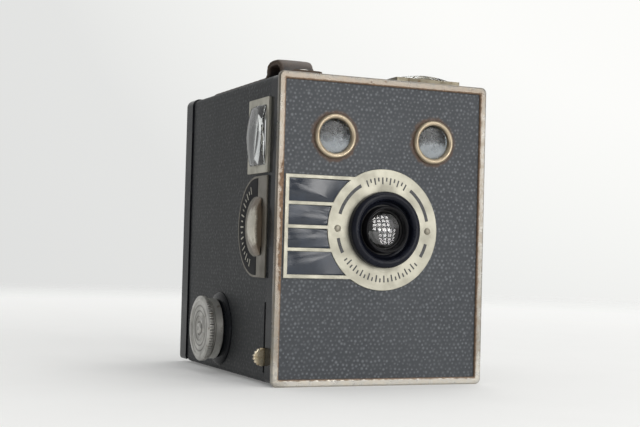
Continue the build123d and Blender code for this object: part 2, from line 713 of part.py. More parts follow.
def make_film_carrier():
    x1 = CARRIER_X + WALL
    carrier = block(-x1, x1, CARRIER_FRONT, GATE_DEPTH + 1, CARRIER_BASE, CARRIER_TOP)
    carrier -= block(-CARRIER_X, CARRIER_X, CARRIER_FRONT + WALL, GATE_DEPTH + 2, CARRIER_BASE - 1,
                     CARRIER_TOP + 1)
    carrier -= cone_outside()
    carrier -= rod_x(SHAFT_R + 2.2, -x1 - 1, 0, SPOOL_DEPTH, SPOOL_Z)
    for x in (-x1 - 1, CARRIER_X - 1):
        for z in (LENS_Z - ROLLER_OFFSET, LENS_Z + ROLLER_OFFSET):
            carrier -= rod_x(AXLE_R, x, x + WALL + 2, ROLLER_DEPTH, z)
    carrier -= rod_x(PIVOT_R, 0, x1 + 1, SPOOL_DEPTH, SPOOL_Z)
    carrier -= rod_x(PIVOT_R, -x1 - 1, x1 + 1, SPOOL_DEPTH, SUPPLY_Z)
    return carrier


def make_film_gate():
    rail = 1.0
    gate = block(-CARRIER_X, CARRIER_X, GATE_DEPTH, GATE_DEPTH + 1, LENS_Z - FRAME_H / 2 - rail,
                 LENS_Z + FRAME_H / 2 + rail)
    return gate - block(-FRAME_W / 2, FRAME_W / 2, GATE_DEPTH - 1, GATE_DEPTH + 2, LENS_Z - FRAME_H / 2,
                        LENS_Z + FRAME_H / 2)


def make_film_roller(side):
    z = LENS_Z + side * ROLLER_OFFSET
    half = CARRIER_X - GAP
    roller = rod_x(ROLLER_R, -half, half, ROLLER_DEPTH, z)
    return roller - rod_x(AXLE_R + RUNNING, -half - 1, half + 1, ROLLER_DEPTH, z)


def make_roller_axles():
    reach = CARRIER_X + WALL + 0.6
    return Compound([rod_x(AXLE_R, -reach, reach, ROLLER_DEPTH, LENS_Z + side * ROLLER_OFFSET)
                     for side in (-1, 1)])


def make_spool_pivots():
    """Headed pins for the spools' ends: one for the take-up spool, two for the supply spool."""
    pins = []
    for side, z in ((1, SPOOL_Z), (1, SUPPLY_Z), (-1, SUPPLY_Z)):
        outside = side * (CARRIER_X + WALL)
        inside = side * (SPOOL_HALF - 3.0)
        pin = rod_x(PIVOT_R, min(outside, inside), max(outside, inside), SPOOL_DEPTH, z)
        cap_end = outside + side * 0.8
        pins.append(pin + rod_x(3.4, min(outside, cap_end), max(outside, cap_end), SPOOL_DEPTH, z))
    return Compound(pins)


# ---------------------------------------------------------------- back


def knuckle_spans(parity):
    """X ranges of every other hinge knuckle."""
    width = 2 * HINGE_HALF / KNUCKLES
    spans = []
    for index in range(KNUCKLES):
        if index % 2 == parity:
            x0 = -HINGE_HALF + index * width
            spans.append((x0 + KNUCKLE_GAP / 2, x0 + width - KNUCKLE_GAP / 2))
    return spans


def make_hinge_leaf_body():
    leaf = block(-HINGE_HALF, HINGE_HALF, 93.5, SHELL_END, SHELL_IN_BASE, SHELL_IN_BASE + LEAF_T)
    for x0, x1 in knuckle_spans(0):
        leaf += block(x0, x1, SHELL_END, HINGE_DEPTH, SHELL_IN_BASE, SHELL_IN_BASE + LEAF_T)
        leaf += rod_x(HINGE_R, x0, x1, HINGE_DEPTH, HINGE_Z)
    return leaf - rod_x(HINGE_PIN_R, -HINGE_HALF - 1, HINGE_HALF + 1, HINGE_DEPTH, HINGE_Z)


def make_hinge_leaf_door():
    leaf = block(-HINGE_HALF, HINGE_HALF, DOOR_INSIDE - LEAF_T, DOOR_INSIDE, HINGE_Z + HINGE_R + GAP, 11.0)
    for x0, x1 in knuckle_spans(1):
        leaf += block(x0, x1, DOOR_INSIDE - LEAF_T, DOOR_INSIDE, HINGE_Z, 6.0)
        leaf += rod_x(HINGE_R, x0, x1, HINGE_DEPTH, HINGE_Z)
    bore = HINGE_PIN_R + RUNNING
    return leaf - rod_x(bore, -HINGE_HALF - 1, HINGE_HALF + 1, HINGE_DEPTH, HINGE_Z)


def make_hinge_pin():
    return rod_x(HINGE_PIN_R, -HINGE_HALF - 0.8, HINGE_HALF + 0.8, HINGE_DEPTH, HINGE_Z)


def make_back_door():
    lip_t = (WIDTH - LIP_IN_W) / 2
    door = sleeve(WIDTH, HEIGHT, 3.0, lip_t, LIP_START, DOOR_OUTSIDE)
    door -= block(-WIDTH, WIDTH, LIP_START - 1, DOOR_OUTSIDE + 1, -1, 2 * PROUD)
    door -= block(-LIP_IN_W / 2, LIP_IN_W / 2, LIP_START - 1, DOOR_OUTSIDE + 1, 0, DOOR_BASE)
    face = Pos(0, MID_Z) * RectangleRounded(WIDTH, HEIGHT, 3.0)
    plate = prism_y(face, DOOR_INSIDE, DOOR_OUTSIDE)
    plate -= block(-WIDTH, WIDTH, DOOR_INSIDE - 1, DOOR_OUTSIDE + 1, -1, DOOR_BASE)
    door += plate
    return door - rod_y(WINDOW_R, DOOR_INSIDE - 1, DOOR_OUTSIDE + 1, WINDOW_X, WINDOW_Z)


def make_door_covering():
    inset = 1.6
    height = HEIGHT - inset - DOOR_BASE
    sheet = Pos(0, DOOR_BASE + height / 2) * RectangleRounded(WIDTH - 2 * inset, height, 1.4)
    sheet -= Pos(WINDOW_X, WINDOW_Z) * Circle(BEZEL_R)
    return prism_y(sheet, DOOR_OUTSIDE, DEPTH)


def make_window_bezel():
    profile = [(WINDOW_R - 0.8, DOOR_OUTSIDE), (BEZEL_R, DOOR_OUTSIDE), (BEZEL_R, DEPTH - 0.1),
               (BEZEL_R - 0.6, DEPTH + 0.3), (WINDOW_R - 0.2, DEPTH + 0.3), (WINDOW_R - 0.8, DEPTH - 0.1)]
    return turned_y(profile, WINDOW_X, WINDOW_Z)


def make_red_window():
    return rod_y(WINDOW_R, DOOR_INSIDE, DOOR_OUTSIDE, WINDOW_X, WINDOW_Z)


def make_pressure_plate():
    plate = block(-29, 29, PLATE_BACKING, PLATE_BACKING + 0.8, 17, 92)
    return plate - rod_y(WINDOW_R + 1, PLATE_BACKING - 1, PLATE_BACKING + 2, WINDOW_X, WINDOW_Z)


def make_pressure_springs():
    """Two bowed leaves between the back and the pressure plate."""
    springs = []
    plate_back = PLATE_BACKING + 0.8
    rise = DOOR_INSIDE - plate_back
    for z in (56.0, 80.0):
        half = 16.0
        thick = 0.4
        radius = (half ** 2 + (rise - thick) ** 2) / (2 * (rise - thick))
        leaf = rod_z(radius + thick, z - 3, z + 3, 0, 0) - rod_z(radius, z - 4, z + 4, 0, 0)
        leaf = Pos(0, plate_back + radius + thick, 0) * leaf
        springs.append(leaf & block(-half, half, plate_back, DOOR_INSIDE, z - 3, z + 3))
    return Compound(springs)


def make_catch_spring():
    """Leaf under the top of the shell, with a bump that stands up through it under the back's lip."""
    leaf = block(-7, 7, 84, SHELL_END - 0.6, SHELL_IN_TOP - 0.5, SHELL_IN_TOP)
    bump = rod_z(CATCH_R, SHELL_IN_TOP, SHELL_IN_TOP + WALL + 0.1, 0, CATCH_DEPTH)
    return leaf + bump


def make_door_pull():
    """Nickel finger lip at the middle of the back's top edge."""
    tab = block(-9, 9, LIP_START + 1.5, DEPTH - 0.5, HEIGHT, HEIGHT + 0.8)
    tab += block(-9, 9, DEPTH - 1.3, DEPTH - 0.5, HEIGHT, HEIGHT + 2.4)
    return fillet(tab.edges().filter_by(Axis.Z).group_by(Axis.Y)[0], 2.0)


# ---------------------------------------------------------------- handle, feet and sockets


def strap_line():
    """Middle line of the strap, as (depth, z): slack gathered in a hump near its front end."""
    flat = STRAP_FLAT + STRAP_T / 2
    hump = 114.2
    return [(STUD_FRONT - 4.2, flat), (16.0, flat), (17.6, hump - 2.5), (21.0, hump), (29.6, hump),
            (30.6, flat), (STUD_REAR + 5, flat)]


def make_handle_strap():
    points = [(y_at(depth), z) for depth, z in strap_line()]
    path = Plane.YZ * FilletPolyline(points, radius=[2.2, 1.6, 2.5, 2.4, 1.6])
    outline = trace_strip(path)
    strap = Pos(STRAP_X - STRAP_W / 2, 0, 0) * extrude(outline, amount=STRAP_W, dir=(1, 0, 0))
    for depth in (STUD_FRONT, STUD_REAR):
        strap -= rod_z(STUD_R, TOP - 1, TOP + 6, STRAP_X, depth)
    return strap


def trace_strip(path):
    """Strip of the strap's thickness along its middle line."""
    return Plane.YZ * trace(Plane.YZ.to_local_coords(path), STRAP_T)


def make_handle_studs():
    """Domed rivets that hold the strap's ends to the top of the shell."""
    studs = []
    for depth in (STUD_FRONT, STUD_REAR):
        stud = rod_z(STUD_R, SHELL_IN_TOP, STRAP_FLAT + STRAP_T, STRAP_X, depth)
        stud += rod_z(3.2, SHELL_IN_TOP - 0.8, SHELL_IN_TOP, STRAP_X, depth)
        stud += rod_z(3.0, TOP, STRAP_FLAT, STRAP_X, depth)
        cap_top = STRAP_FLAT + STRAP_T
        ball_r = 6.0
        rise = 0.8
        cap = Pos(STRAP_X, y_at(depth), cap_top + rise - ball_r) * Sphere(ball_r)
        stud += cap & rod_z(3.2, cap_top, cap_top + rise, STRAP_X, depth)
        studs.append(stud)
    return Compound(studs)


def make_rear_feet():
    feet = []
    for x in (-28, 28):
        foot = rod_z(FOOT_R, 0, PROUD, x, 88)
        feet.append(fillet(foot.edges().group_by(Axis.Z)[0], 0.4))
    return Compound(feet)


def make_tripod_sockets():
    """Threaded bushes in the base and in the plain side, flanged inside the shell."""
    base = rod_z(SOCKET_R, 0.4, 8.6, 0, SOCKET_DEPTH)
    base += rod_z(8.0, SHELL_IN_BASE, SHELL_IN_BASE + 1.0, 0, SOCKET_DEPTH)
    base -= rod_z(THREAD_R, 0, 7.4, 0, SOCKET_DEPTH)
    outside = -SIDE + 0.2
    side = rod_x(SOCKET_R, outside - 5.4, outside, SIDE_SOCKET_DEPTH, MID_Z)
    side += rod_x(8.0, SHELL_IN_X - 1.0, SHELL_IN_X, SIDE_SOCKET_DEPTH, MID_Z)
    side -= rod_x(THREAD_R, outside - 4.6, outside + 1, SIDE_SOCKET_DEPTH, MID_Z)
    return Compound([base, side])


# ---------------------------------------------------------------- the assembly
NODES = {
    "body_shell": make_body_shell,
    "body_covering": make_body_covering,
    "front_panel": make_front_panel,
    "front_rim": make_front_rim,
    "front_covering": make_front_covering,
    "lens_plate": make_lens_plate,
    "lens_plate_enamel": make_plate_enamel,
    "lens_plate_rivets": make_plate_rivets,
    "lens_ring": make_lens_ring,
    "lens_tube": make_lens_tube,
    "taking_lens": make_taking_lens,
    "lens_retainer": make_lens_retainer,
    "finder_rings": make_finder_rings,
    "finder_front_lenses": make_finder_front_lenses,
    "finder_mirrors": make_finder_mirrors,
    "finder_housing_side": make_housing_side,
    "finder_housing_top": make_housing_top,
    "finder_frame_side": lambda: to_side(eye_frame(EYE_FRAME_SIDE)),
    "finder_frame_top": lambda: to_top(eye_frame(EYE_FRAME_TOP)),
    "finder_eye_lens_side": lambda: to_side(eye_lens(EYE_FRAME_SIDE + EYE_DOME_OVER)),
    "finder_eye_lens_top": lambda: to_top(eye_lens(EYE_FRAME_TOP + EYE_DOME_OVER)),
    "shutter_board": make_shutter_board,
    "shutter_posts": make_shutter_posts,
    "shutter_screws": make_shutter_screws,
    "shutter_pivot_pins": make_pivot_pins,
    "shutter_disc": make_shutter_disc,
    "shutter_lever": make_shutter_lever,
    "shutter_spring": make_shutter_spring,
    "slide_guides": make_slide_guides,
    "closeup_slide": make_closeup_slide,
    "closeup_lens": make_closeup_lens,
    "slide_plate": make_slide_plate,
    "slide_plate_enamel": make_slide_enamel,
    "winding_seat": make_winding_seat,
    "winding_knob": make_winding_knob,
    "winding_shaft": make_winding_shaft,
    "winding_shaft_clip": make_shaft_clip,
    "take_up_spool": make_take_up_spool,
    "light_cone": make_light_cone,
    "film_carrier": make_film_carrier,
    "film_gate": make_film_gate,
    "film_roller_upper": lambda: make_film_roller(1),
    "film_roller_lower": lambda: make_film_roller(-1),
    "roller_axles": make_roller_axles,
    "spool_pivots": make_spool_pivots,
    "hinge_leaf_body": make_hinge_leaf_body,
    "hinge_leaf_door": make_hinge_leaf_door,
    "hinge_pin": make_hinge_pin,
    "back_door": make_back_door,
    "back_door_covering": make_door_covering,
    "back_door_pull": make_door_pull,
    "window_bezel": make_window_bezel,
    "red_window": make_red_window,
    "pressure_plate": make_pressure_plate,
    "pressure_springs": make_pressure_springs,
    "catch_spring": make_catch_spring,
    "handle_strap": make_handle_strap,
    "handle_studs": make_handle_studs,
    "rear_feet": make_rear_feet,
    "tripod_sockets": make_tripod_sockets,
}

os.makedirs("parts", exist_ok=True)
for name, make in NODES.items():
    export_step(make(), f"parts/{name}.step")
print(len(NODES), "nodes")
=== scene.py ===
"""Looks of the box camera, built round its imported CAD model. Metres, in the CAD model's frame."""
import json
import math

import bmesh
import bpy
import numpy as np
from mathutils import Matrix, Vector
from mathutils.bvhtree import BVHTree

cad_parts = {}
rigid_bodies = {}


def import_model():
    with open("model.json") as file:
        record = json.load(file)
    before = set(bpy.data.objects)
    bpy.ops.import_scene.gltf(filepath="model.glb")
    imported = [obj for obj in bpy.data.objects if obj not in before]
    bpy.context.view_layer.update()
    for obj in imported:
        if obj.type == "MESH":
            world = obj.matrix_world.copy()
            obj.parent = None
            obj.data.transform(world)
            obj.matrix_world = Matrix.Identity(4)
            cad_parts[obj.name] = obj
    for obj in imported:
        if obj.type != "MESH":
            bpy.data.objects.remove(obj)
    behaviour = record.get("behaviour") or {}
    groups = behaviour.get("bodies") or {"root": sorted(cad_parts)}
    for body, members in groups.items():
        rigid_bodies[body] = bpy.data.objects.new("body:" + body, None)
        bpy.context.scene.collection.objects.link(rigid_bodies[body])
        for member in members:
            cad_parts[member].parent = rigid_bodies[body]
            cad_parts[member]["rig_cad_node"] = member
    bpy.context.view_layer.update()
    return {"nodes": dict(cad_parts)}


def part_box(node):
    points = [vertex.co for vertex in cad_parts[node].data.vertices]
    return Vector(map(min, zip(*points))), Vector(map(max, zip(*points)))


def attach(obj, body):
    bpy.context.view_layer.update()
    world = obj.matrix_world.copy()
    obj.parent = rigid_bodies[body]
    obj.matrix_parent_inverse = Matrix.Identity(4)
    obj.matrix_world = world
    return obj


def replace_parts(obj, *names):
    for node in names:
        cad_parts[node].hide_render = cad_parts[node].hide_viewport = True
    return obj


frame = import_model()
NODES = frame["nodes"]
SCENE = bpy.context.scene
MM = 0.001


# ---------------------------------------------------------------- shader trees
class Shade:
    """A Principled material and short calls that add nodes to it."""

    INPUTS = {
        "color": "Base Color", "rough": "Roughness", "metal": "Metallic", "normal": "Normal",
        "glass": "Transmission Weight", "ior": "IOR", "specular": "Specular IOR Level",
        "alpha": "Alpha", "glow": "Emission Strength",
    }

    def __init__(self, name):
        self.material = bpy.data.materials.new(name)
        self.material.use_nodes = True
        self.tree = self.material.node_tree
        self.tree.nodes.clear()
        output = self.tree.nodes.new("ShaderNodeOutputMaterial")
        self.shader = self.tree.nodes.new("ShaderNodeBsdfPrincipled")
        self.tree.links.new(self.shader.outputs["BSDF"], output.inputs["Surface"])
        self.place = self.tree.nodes.new("ShaderNodeTexCoord").outputs["Object"]

    def put(self, socket, value):
        if isinstance(value, bpy.types.NodeSocket):
            self.tree.links.new(value, socket)
        else:
            socket.default_value = value

    def base(self, **values):
        for key, value in values.items():
            self.put(self.shader.inputs[self.INPUTS[key]], value)
        return self

    def math(self, operation, a, b=0.0):
        node = self.tree.nodes.new("ShaderNodeMath")
        node.operation = operation
        self.put(node.inputs[0], a)
        self.put(node.inputs[1], b)
        return node.outputs[0]

    def between(self, value, low, high, out_low=0.0, out_high=1.0):
        node = self.tree.nodes.new("ShaderNodeMapRange")
        node.interpolation_type = "SMOOTHSTEP"
        limits = {"From Min": low, "From Max": high, "To Min": out_low, "To Max": out_high}
        for key, number in limits.items():
            node.inputs[key].default_value = number
        self.put(node.inputs["Value"], value)
        return node.outputs["Result"]

    def stretched(self, scale):
        node = self.tree.nodes.new("ShaderNodeMapping")
        node.inputs["Scale"].default_value = scale
        self.put(node.inputs["Vector"], self.place)
        return node.outputs["Vector"]

    def noise(self, size_mm, detail=3.0, stretch=(1, 1, 1), rough=0.55, shift=0.0):
        node = self.tree.nodes.new("ShaderNodeTexNoise")
        node.inputs["Scale"].default_value = 1 / (size_mm * MM)
        node.inputs["Detail"].default_value = detail
        node.inputs["Roughness"].default_value = rough
        place = self.stretched(stretch)
        if shift:
            place.node.inputs["Location"].default_value = (shift, shift, shift)
        self.put(node.inputs["Vector"], place)
        return node.outputs["Fac"]

    def cells(self, size_mm):
        node = self.tree.nodes.new("ShaderNodeTexVoronoi")
        node.inputs["Scale"].default_value = 1 / (size_mm * MM)
        self.put(node.inputs["Vector"], self.stretched((1, 1, 1)))
        return node.outputs["Distance"]

    def ramp(self, value, *stops):
        node = self.tree.nodes.new("ShaderNodeValToRGB")
        band = node.color_ramp
        while len(band.elements) < len(stops):
            band.elements.new(0.5)
        for element, (position, color) in zip(band.elements, stops):
            element.position = position
            element.color = (*color, 1.0)
        self.put(node.inputs["Fac"], value)
        return node.outputs["Color"]

    def mix(self, share, a, b):
        node = self.tree.nodes.new("ShaderNodeMix")
        node.data_type = "RGBA"
        self.put(node.inputs[0], share)
        for socket, value in ((node.inputs[6], a), (node.inputs[7], b)):
            self.put(socket, (*value, 1.0) if isinstance(value, tuple) else value)
        return node.outputs[2]

    def bump(self, height, depth_mm, strength=1.0, under=None):
        node = self.tree.nodes.new("ShaderNodeBump")
        node.inputs["Strength"].default_value = strength
        node.inputs["Distance"].default_value = depth_mm * MM
        self.put(node.inputs["Height"], height)
        if under is not None:
            self.put(node.inputs["Normal"], under)
        return node.outputs["Normal"]

    def attribute(self, name):
        node = self.tree.nodes.new("ShaderNodeAttribute")
        node.attribute_name = name
        return node.outputs["Fac"]

    def pointiness(self):
        return self.tree.nodes.new("ShaderNodeNewGeometry").outputs["Pointiness"]

    def axes(self):
        node = self.tree.nodes.new("ShaderNodeSeparateXYZ")
        self.put(node.inputs[0], self.place)
        return node.outputs

    def radius(self, across, up, a0, b0):
        """Distance in mm from a point given on two axes."""
        da = self.math("SUBTRACT", across, a0)
        db = self.math("SUBTRACT", up, b0)
        squares = self.math("ADD", self.math("MULTIPLY", da, da), self.math("MULTIPLY", db, db))
        return self.math("MULTIPLY", self.math("SQRT", squares), 1 / MM)


def leatherette(name, low, high, worn, stains=()):
    """Embossed paper leather: dark between its grains, shinier on top of them, and coloured paler there as a
    painted highlight.

    Stains are the centres (x, z) and radius in mm of metal rings that have rusted into it."""
    s = Shade(name)
    grain = s.attribute("grain")
    broad = s.noise(21, 4)
    fine = s.noise(0.35, 2)
    # painted highlight: the grain tops get the paler colour, with fine random tone mixed in
    grain_highlight_and_tone = s.math("ADD", s.math("MULTIPLY", grain, 0.85), s.math("MULTIPLY", fine, 0.2))
    color = s.ramp(grain_highlight_and_tone, (0.10, low), (0.55, tuple((a + b) / 2.3 for a, b in zip(low, high))), (0.95, high))
    color = s.mix(s.between(broad, 0.45, 0.8, 0.0, 0.22), color, worn)
    scuffs = s.noise(2.4, 6, (1, 1, 6), 0.7)
    color = s.mix(s.between(scuffs, 0.72, 0.82, 0.0, 0.35), color, tuple(1.3 * c for c in high))
    rough = s.between(s.math("ADD", grain, s.math("MULTIPLY", broad, 0.5)), 0.2, 1.3, 0.62, 0.40)
    x, _, z = s.axes()
    seep = s.math("MULTIPLY", s.noise(2.6, 4, shift=5.0), 2.6)
    for stain_x, stain_z, stain_radius in stains:
        away = s.math("SUBTRACT", s.radius(x, z, stain_x, stain_z), stain_radius)
        stained = s.between(s.math("SUBTRACT", away, seep), -1.0, 0.3, 0.75, 0.0)
        color = s.mix(stained, color, (0.085, 0.042, 0.020))
    normal = s.bump(s.noise(0.22, 3), 0.03, 0.6)
    return s.base(color=color, rough=rough, normal=normal, specular=0.55).material


def enamel(name, tint=(0.008, 0.009, 0.011), gloss=0.16, chips=1.0, chip_color=(0.42, 0.40, 0.37),
           specular=0.12):
    """Gloss black enamel on steel, chipped in scattered spots and finely scratched."""
    s = Shade(name)
    cloudy = s.noise(9, 4)
    scratch = s.noise(0.5, 3, (1, 1, 14), 0.6)
    color = s.mix(s.between(cloudy, 0.45, 0.8, 0.0, 0.5), tint, tuple(2.6 * c for c in tint))
    color = s.mix(s.between(scratch, 0.66, 0.74, 0.0, 0.25), color, (0.16, 0.16, 0.17))
    bare = s.between(s.noise(2.2, 6, shift=3.1, rough=0.65), 0.745 - 0.02 * chips, 0.755 - 0.02 * chips)
    color = s.mix(bare, color, chip_color)
    rough = s.between(cloudy, 0.3, 0.8, gloss, gloss + 0.16)
    rough = s.math("ADD", rough, s.math("MULTIPLY", bare, 0.3))
    normal = s.bump(s.noise(5, 2), 0.05, 0.35)
    normal = s.bump(s.math("MULTIPLY", bare, -1.0), 0.05, 0.6, normal)
    return s.base(color=color, rough=rough, normal=normal, specular=specular).material


def nickel(name, tint=(0.80, 0.77, 0.70), rough=0.30, dull=0.3, rust=0.2, dirt=(0.33, 0.29, 0.22),
           crevice=False, black_within=0.0):
    """Old nickel plate: warm, slightly cloudy, with dull patches and brown specks.

    Within black_within mm of the lens's axis it is blackened."""
    s = Shade(name)
    cloudy = s.noise(6, 5)
    fine = s.noise(0.6, 4)
    color = s.mix(s.between(cloudy, 0.35, 0.75, 0.0, dull), tint, tuple(0.62 * c for c in tint))
    color = s.mix(s.between(fine, 0.62, 0.78, 0.0, 0.5), color, dirt)
    specks = s.noise(1.6, 7, shift=1.7, rough=0.7)
    mask = s.between(specks, 0.70 - 0.14 * rust, 0.76 - 0.14 * rust)
    color = s.mix(s.math("MULTIPLY", mask, 0.8), color, (0.20, 0.11, 0.05))
    if crevice:
        hollow = s.between(s.pointiness(), 0.40, 0.49, 0.85, 0.0)
        color = s.mix(hollow, color, (0.09, 0.07, 0.05))
    metal = 0.92
    if black_within:
        x, _, z = s.axes()
        outside = s.between(s.radius(x, z, 0.0, LENS_Z), black_within - 0.1, black_within + 0.1)
        color = s.mix(outside, (0.008, 0.008, 0.009), color)
        metal = s.math("MULTIPLY", outside, metal)
    roughness = s.between(cloudy, 0.3, 0.8, rough, rough + 0.2)
    roughness = s.math("ADD", roughness, s.math("MULTIPLY", mask, 0.3))
    normal = s.bump(s.noise(0.25, 2, (1, 1, 5)), 0.012, 0.5)
    normal = s.bump(s.math("MULTIPLY", mask, -1.0), 0.03, 0.4, normal)
    return s.base(color=color, rough=roughness, metal=metal, normal=normal).material


def nickel_with_painted_highlight(name, node, depth_mm):
    """Plate with a painted highlight where a node stands out furthest towards -X, and painted shade, brown,
    where it sinks back from there.
    """
    s = Shade(name)
    x, _, _ = s.axes()
    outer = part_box(node)[0].x
    cloudy = s.noise(1.8, 5)
    sunk = s.math("MULTIPLY", s.math("SUBTRACT", x, outer), 1 / MM)
    sunk = s.math("ADD", sunk, s.between(cloudy, 0.3, 0.7, -0.35, 0.35))
    # painted highlight on the outermost ridge, painted shade in brown where the surface lies deeper
    color = s.mix(s.between(sunk, 0.25 * depth_mm, depth_mm), (0.56, 0.53, 0.45), (0.17, 0.135, 0.10))
    streak = s.noise(0.5, 3, (1, 4, 0.6))
    color = s.mix(s.between(streak, 0.5, 0.75, 0.0, 0.4), color, (0.24, 0.20, 0.15))
    rough = s.between(cloudy, 0.3, 0.8, 0.30, 0.5)
    return s.base(color=color, rough=rough, metal=0.92, normal=s.bump(streak, 0.02, 0.5)).material


def rim_nickel(name):
    """The front rim's plate: painted paler at its foot and painted darker toward its top bar and on its left
    upright, rusted along its inner edge.
    """
    s = Shade(name)
    side_mm = (34.0, 38.0)  # from the middle to the left upright
    rubbed_z, rubbed_reach = 0.056, (0.012, 0.030)  # the stretch of the uprights worn most
    foot_z, top_z = (0.004, 0.012), (0.100, 0.104)
    mid_z = (RIM_LOW.z + RIM_HIGH.z) / 2
    x, _, z = s.axes()
    inner_x = (RIM_HIGH.x - RIM_FACE) / MM
    inner_z = (RIM_HIGH.z - mid_z - RIM_FACE) / MM
    from_x = s.math("SUBTRACT", s.math("MULTIPLY", s.math("ABSOLUTE", x), 1 / MM), inner_x)
    up = s.math("ABSOLUTE", s.math("SUBTRACT", z, mid_z))
    from_z = s.math("SUBTRACT", s.math("MULTIPLY", up, 1 / MM), inner_z)
    inward = s.math("MAXIMUM", from_x, from_z)
    broken = s.noise(3.5, 6, rough=0.7)
    streak = s.noise(9, 4, shift=2.2)
    side = s.between(s.math("MULTIPLY", x, -1 / MM), *side_mm)
    middle = s.between(s.math("ABSOLUTE", s.math("SUBTRACT", z, rubbed_z)), *rubbed_reach, 1.0, 0.0)
    above = s.between(z, *top_z)
    heavy = s.math("MULTIPLY", s.math("MULTIPLY", side, middle), 1.5)
    heavy = s.math("ADD", heavy, s.math("MULTIPLY", s.math("MAXIMUM", side, above), 0.35))
    reach = s.math("ADD", s.math("MULTIPLY", streak, 2.6), s.math("MULTIPLY", broken, 2.4))
    foot = s.between(z, *foot_z, 1.1, 0.0)
    edge = s.math("SUBTRACT", s.math("SUBTRACT", s.math("ADD", reach, heavy), inward), 2.45)
    edge = s.math("SUBTRACT", edge, foot)
    gaps = s.between(s.noise(2.6, 5, shift=7.0, rough=0.7), 0.40, 0.52, 0.9, 0.0)
    rusty = s.between(s.math("SUBTRACT", edge, gaps), 0.0, 0.6)
    spots = s.between(s.noise(2.2, 7, shift=4.0, rough=0.72), 0.62, 0.70)
    spots = s.math("MULTIPLY", spots, s.between(z, *foot_z, 0.3, 1.0))
    rusty = s.math("MAXIMUM", rusty, spots)
    ragged = s.math("MULTIPLY", s.noise(1.4, 4, shift=9.0), 1.1)
    line = s.between(s.math("SUBTRACT", inward, ragged), -0.35, 0.15, 0.85, 0.0)
    rusty = s.math("MAXIMUM", rusty, line)
    cloudy = s.noise(2.6, 5, rough=0.65)
    # painted shade by height: the plate's colour goes from pale at the foot to dark at the top bar
    plate_with_painted_shade = s.ramp(s.math("MULTIPLY", z, 9.0), (0.06, (0.52, 0.50, 0.46)), (0.14, (0.32, 0.31, 0.285)),
                     (0.86, (0.31, 0.30, 0.275)), (0.94, (0.185, 0.174, 0.157)))
    # painted shade: the left upright is coloured darker
    plate_with_painted_shade = s.mix(s.math("MULTIPLY", side, 0.45), plate_with_painted_shade, (0.19, 0.17, 0.14))
    # painted light: the random blotch colour is paler at the foot
    brown = s.mix(s.between(z, *foot_z), (0.52, 0.48, 0.41), (0.25, 0.22, 0.18))
    plate = s.mix(s.between(cloudy, 0.42, 0.62, 0.0, 0.8), plate_with_painted_shade, brown)
    spread = s.math("ADD", s.math("MULTIPLY", broken, 1.6), s.math("MULTIPLY", heavy, 1.2))
    dull = s.between(s.math("ADD", s.math("SUBTRACT", inward, spread), foot), -0.6, 1.0, 0.55, 0.0)
    plate = s.mix(dull, plate, (0.235, 0.19, 0.15))
    rust = s.ramp(s.noise(0.9, 5), (0.3, (0.10, 0.055, 0.030)), (0.7, (0.27, 0.17, 0.10)))
    color = s.mix(rusty, plate, rust)
    rough = s.math("ADD", s.between(cloudy, 0.3, 0.8, 0.26, 0.42), s.math("MULTIPLY", rusty, 0.35))
    metal = s.math("SUBTRACT", 0.95, s.math("MULTIPLY", rusty, 0.75))
    normal = s.bump(s.math("MULTIPLY", rusty, s.noise(0.5, 4)), 0.09, 0.8)
    return s.base(color=color, rough=rough, metal=metal, normal=normal).material


def turned_metal(name, across, up, a0, b0, tint, rough=0.34):
    """Dull plate with turned rings, 2 mm apart, on its face and dirt in the hollows."""
    s = Shade(name)
    face_mm = (9.4, 9.9)  # where the ringed face gives way to the knurled edge
    axes = s.axes()
    away = s.radius(axes[across], axes[up], a0, b0)
    wave = s.math("SINE", s.math("MULTIPLY", away, math.pi))
    on_face = s.between(away, *face_mm, 1.0, 0.0)
    rings = s.math("MULTIPLY", s.between(wave, 0.25, 0.85), on_face)
    cloudy = s.noise(4.5, 5)
    color = s.mix(s.between(cloudy, 0.35, 0.75, 0.0, 0.55), tint, tuple(0.55 * c for c in tint))
    hollow = s.between(s.pointiness(), 0.42, 0.50, 0.9, 0.0)
    color = s.mix(hollow, color, (0.05, 0.045, 0.04))
    stains = s.between(s.noise(2.0, 6, shift=1.1), 0.60, 0.70, 0.0, 0.6)
    color = s.mix(stains, color, (0.17, 0.13, 0.09))
    color = s.mix(s.math("MULTIPLY", rings, 0.62), color, (0.10, 0.095, 0.085))
    normal = s.bump(s.math("MULTIPLY", rings, -1.0), 0.16, 0.8)
    normal = s.bump(s.noise(0.4, 3), 0.02, 0.4, normal)
    roughness = s.between(cloudy, 0.3, 0.8, rough, rough + 0.2)
    return s.base(color=color, rough=roughness, metal=0.9, normal=normal).material


def steel(name, tint=(0.50, 0.50, 0.49), rough=0.32, grain=(1, 1, 10)):
    s = Shade(name)
    brushed = s.noise(0.6, 3, grain)
    cloudy = s.noise(7, 4)
    color = s.mix(s.between(cloudy, 0.4, 0.8, 0.0, 0.5), tint, (0.30, 0.26, 0.21))
    color = s.mix(s.between(brushed, 0.5, 0.8, 0.0, 0.35), color, tuple(0.6 * c for c in tint))
    rough_map = s.between(brushed, 0.3, 0.8, rough, rough + 0.18)
    return s.base(color=color, rough=rough_map, metal=1.0, normal=s.bump(brushed, 0.01, 0.4)).material


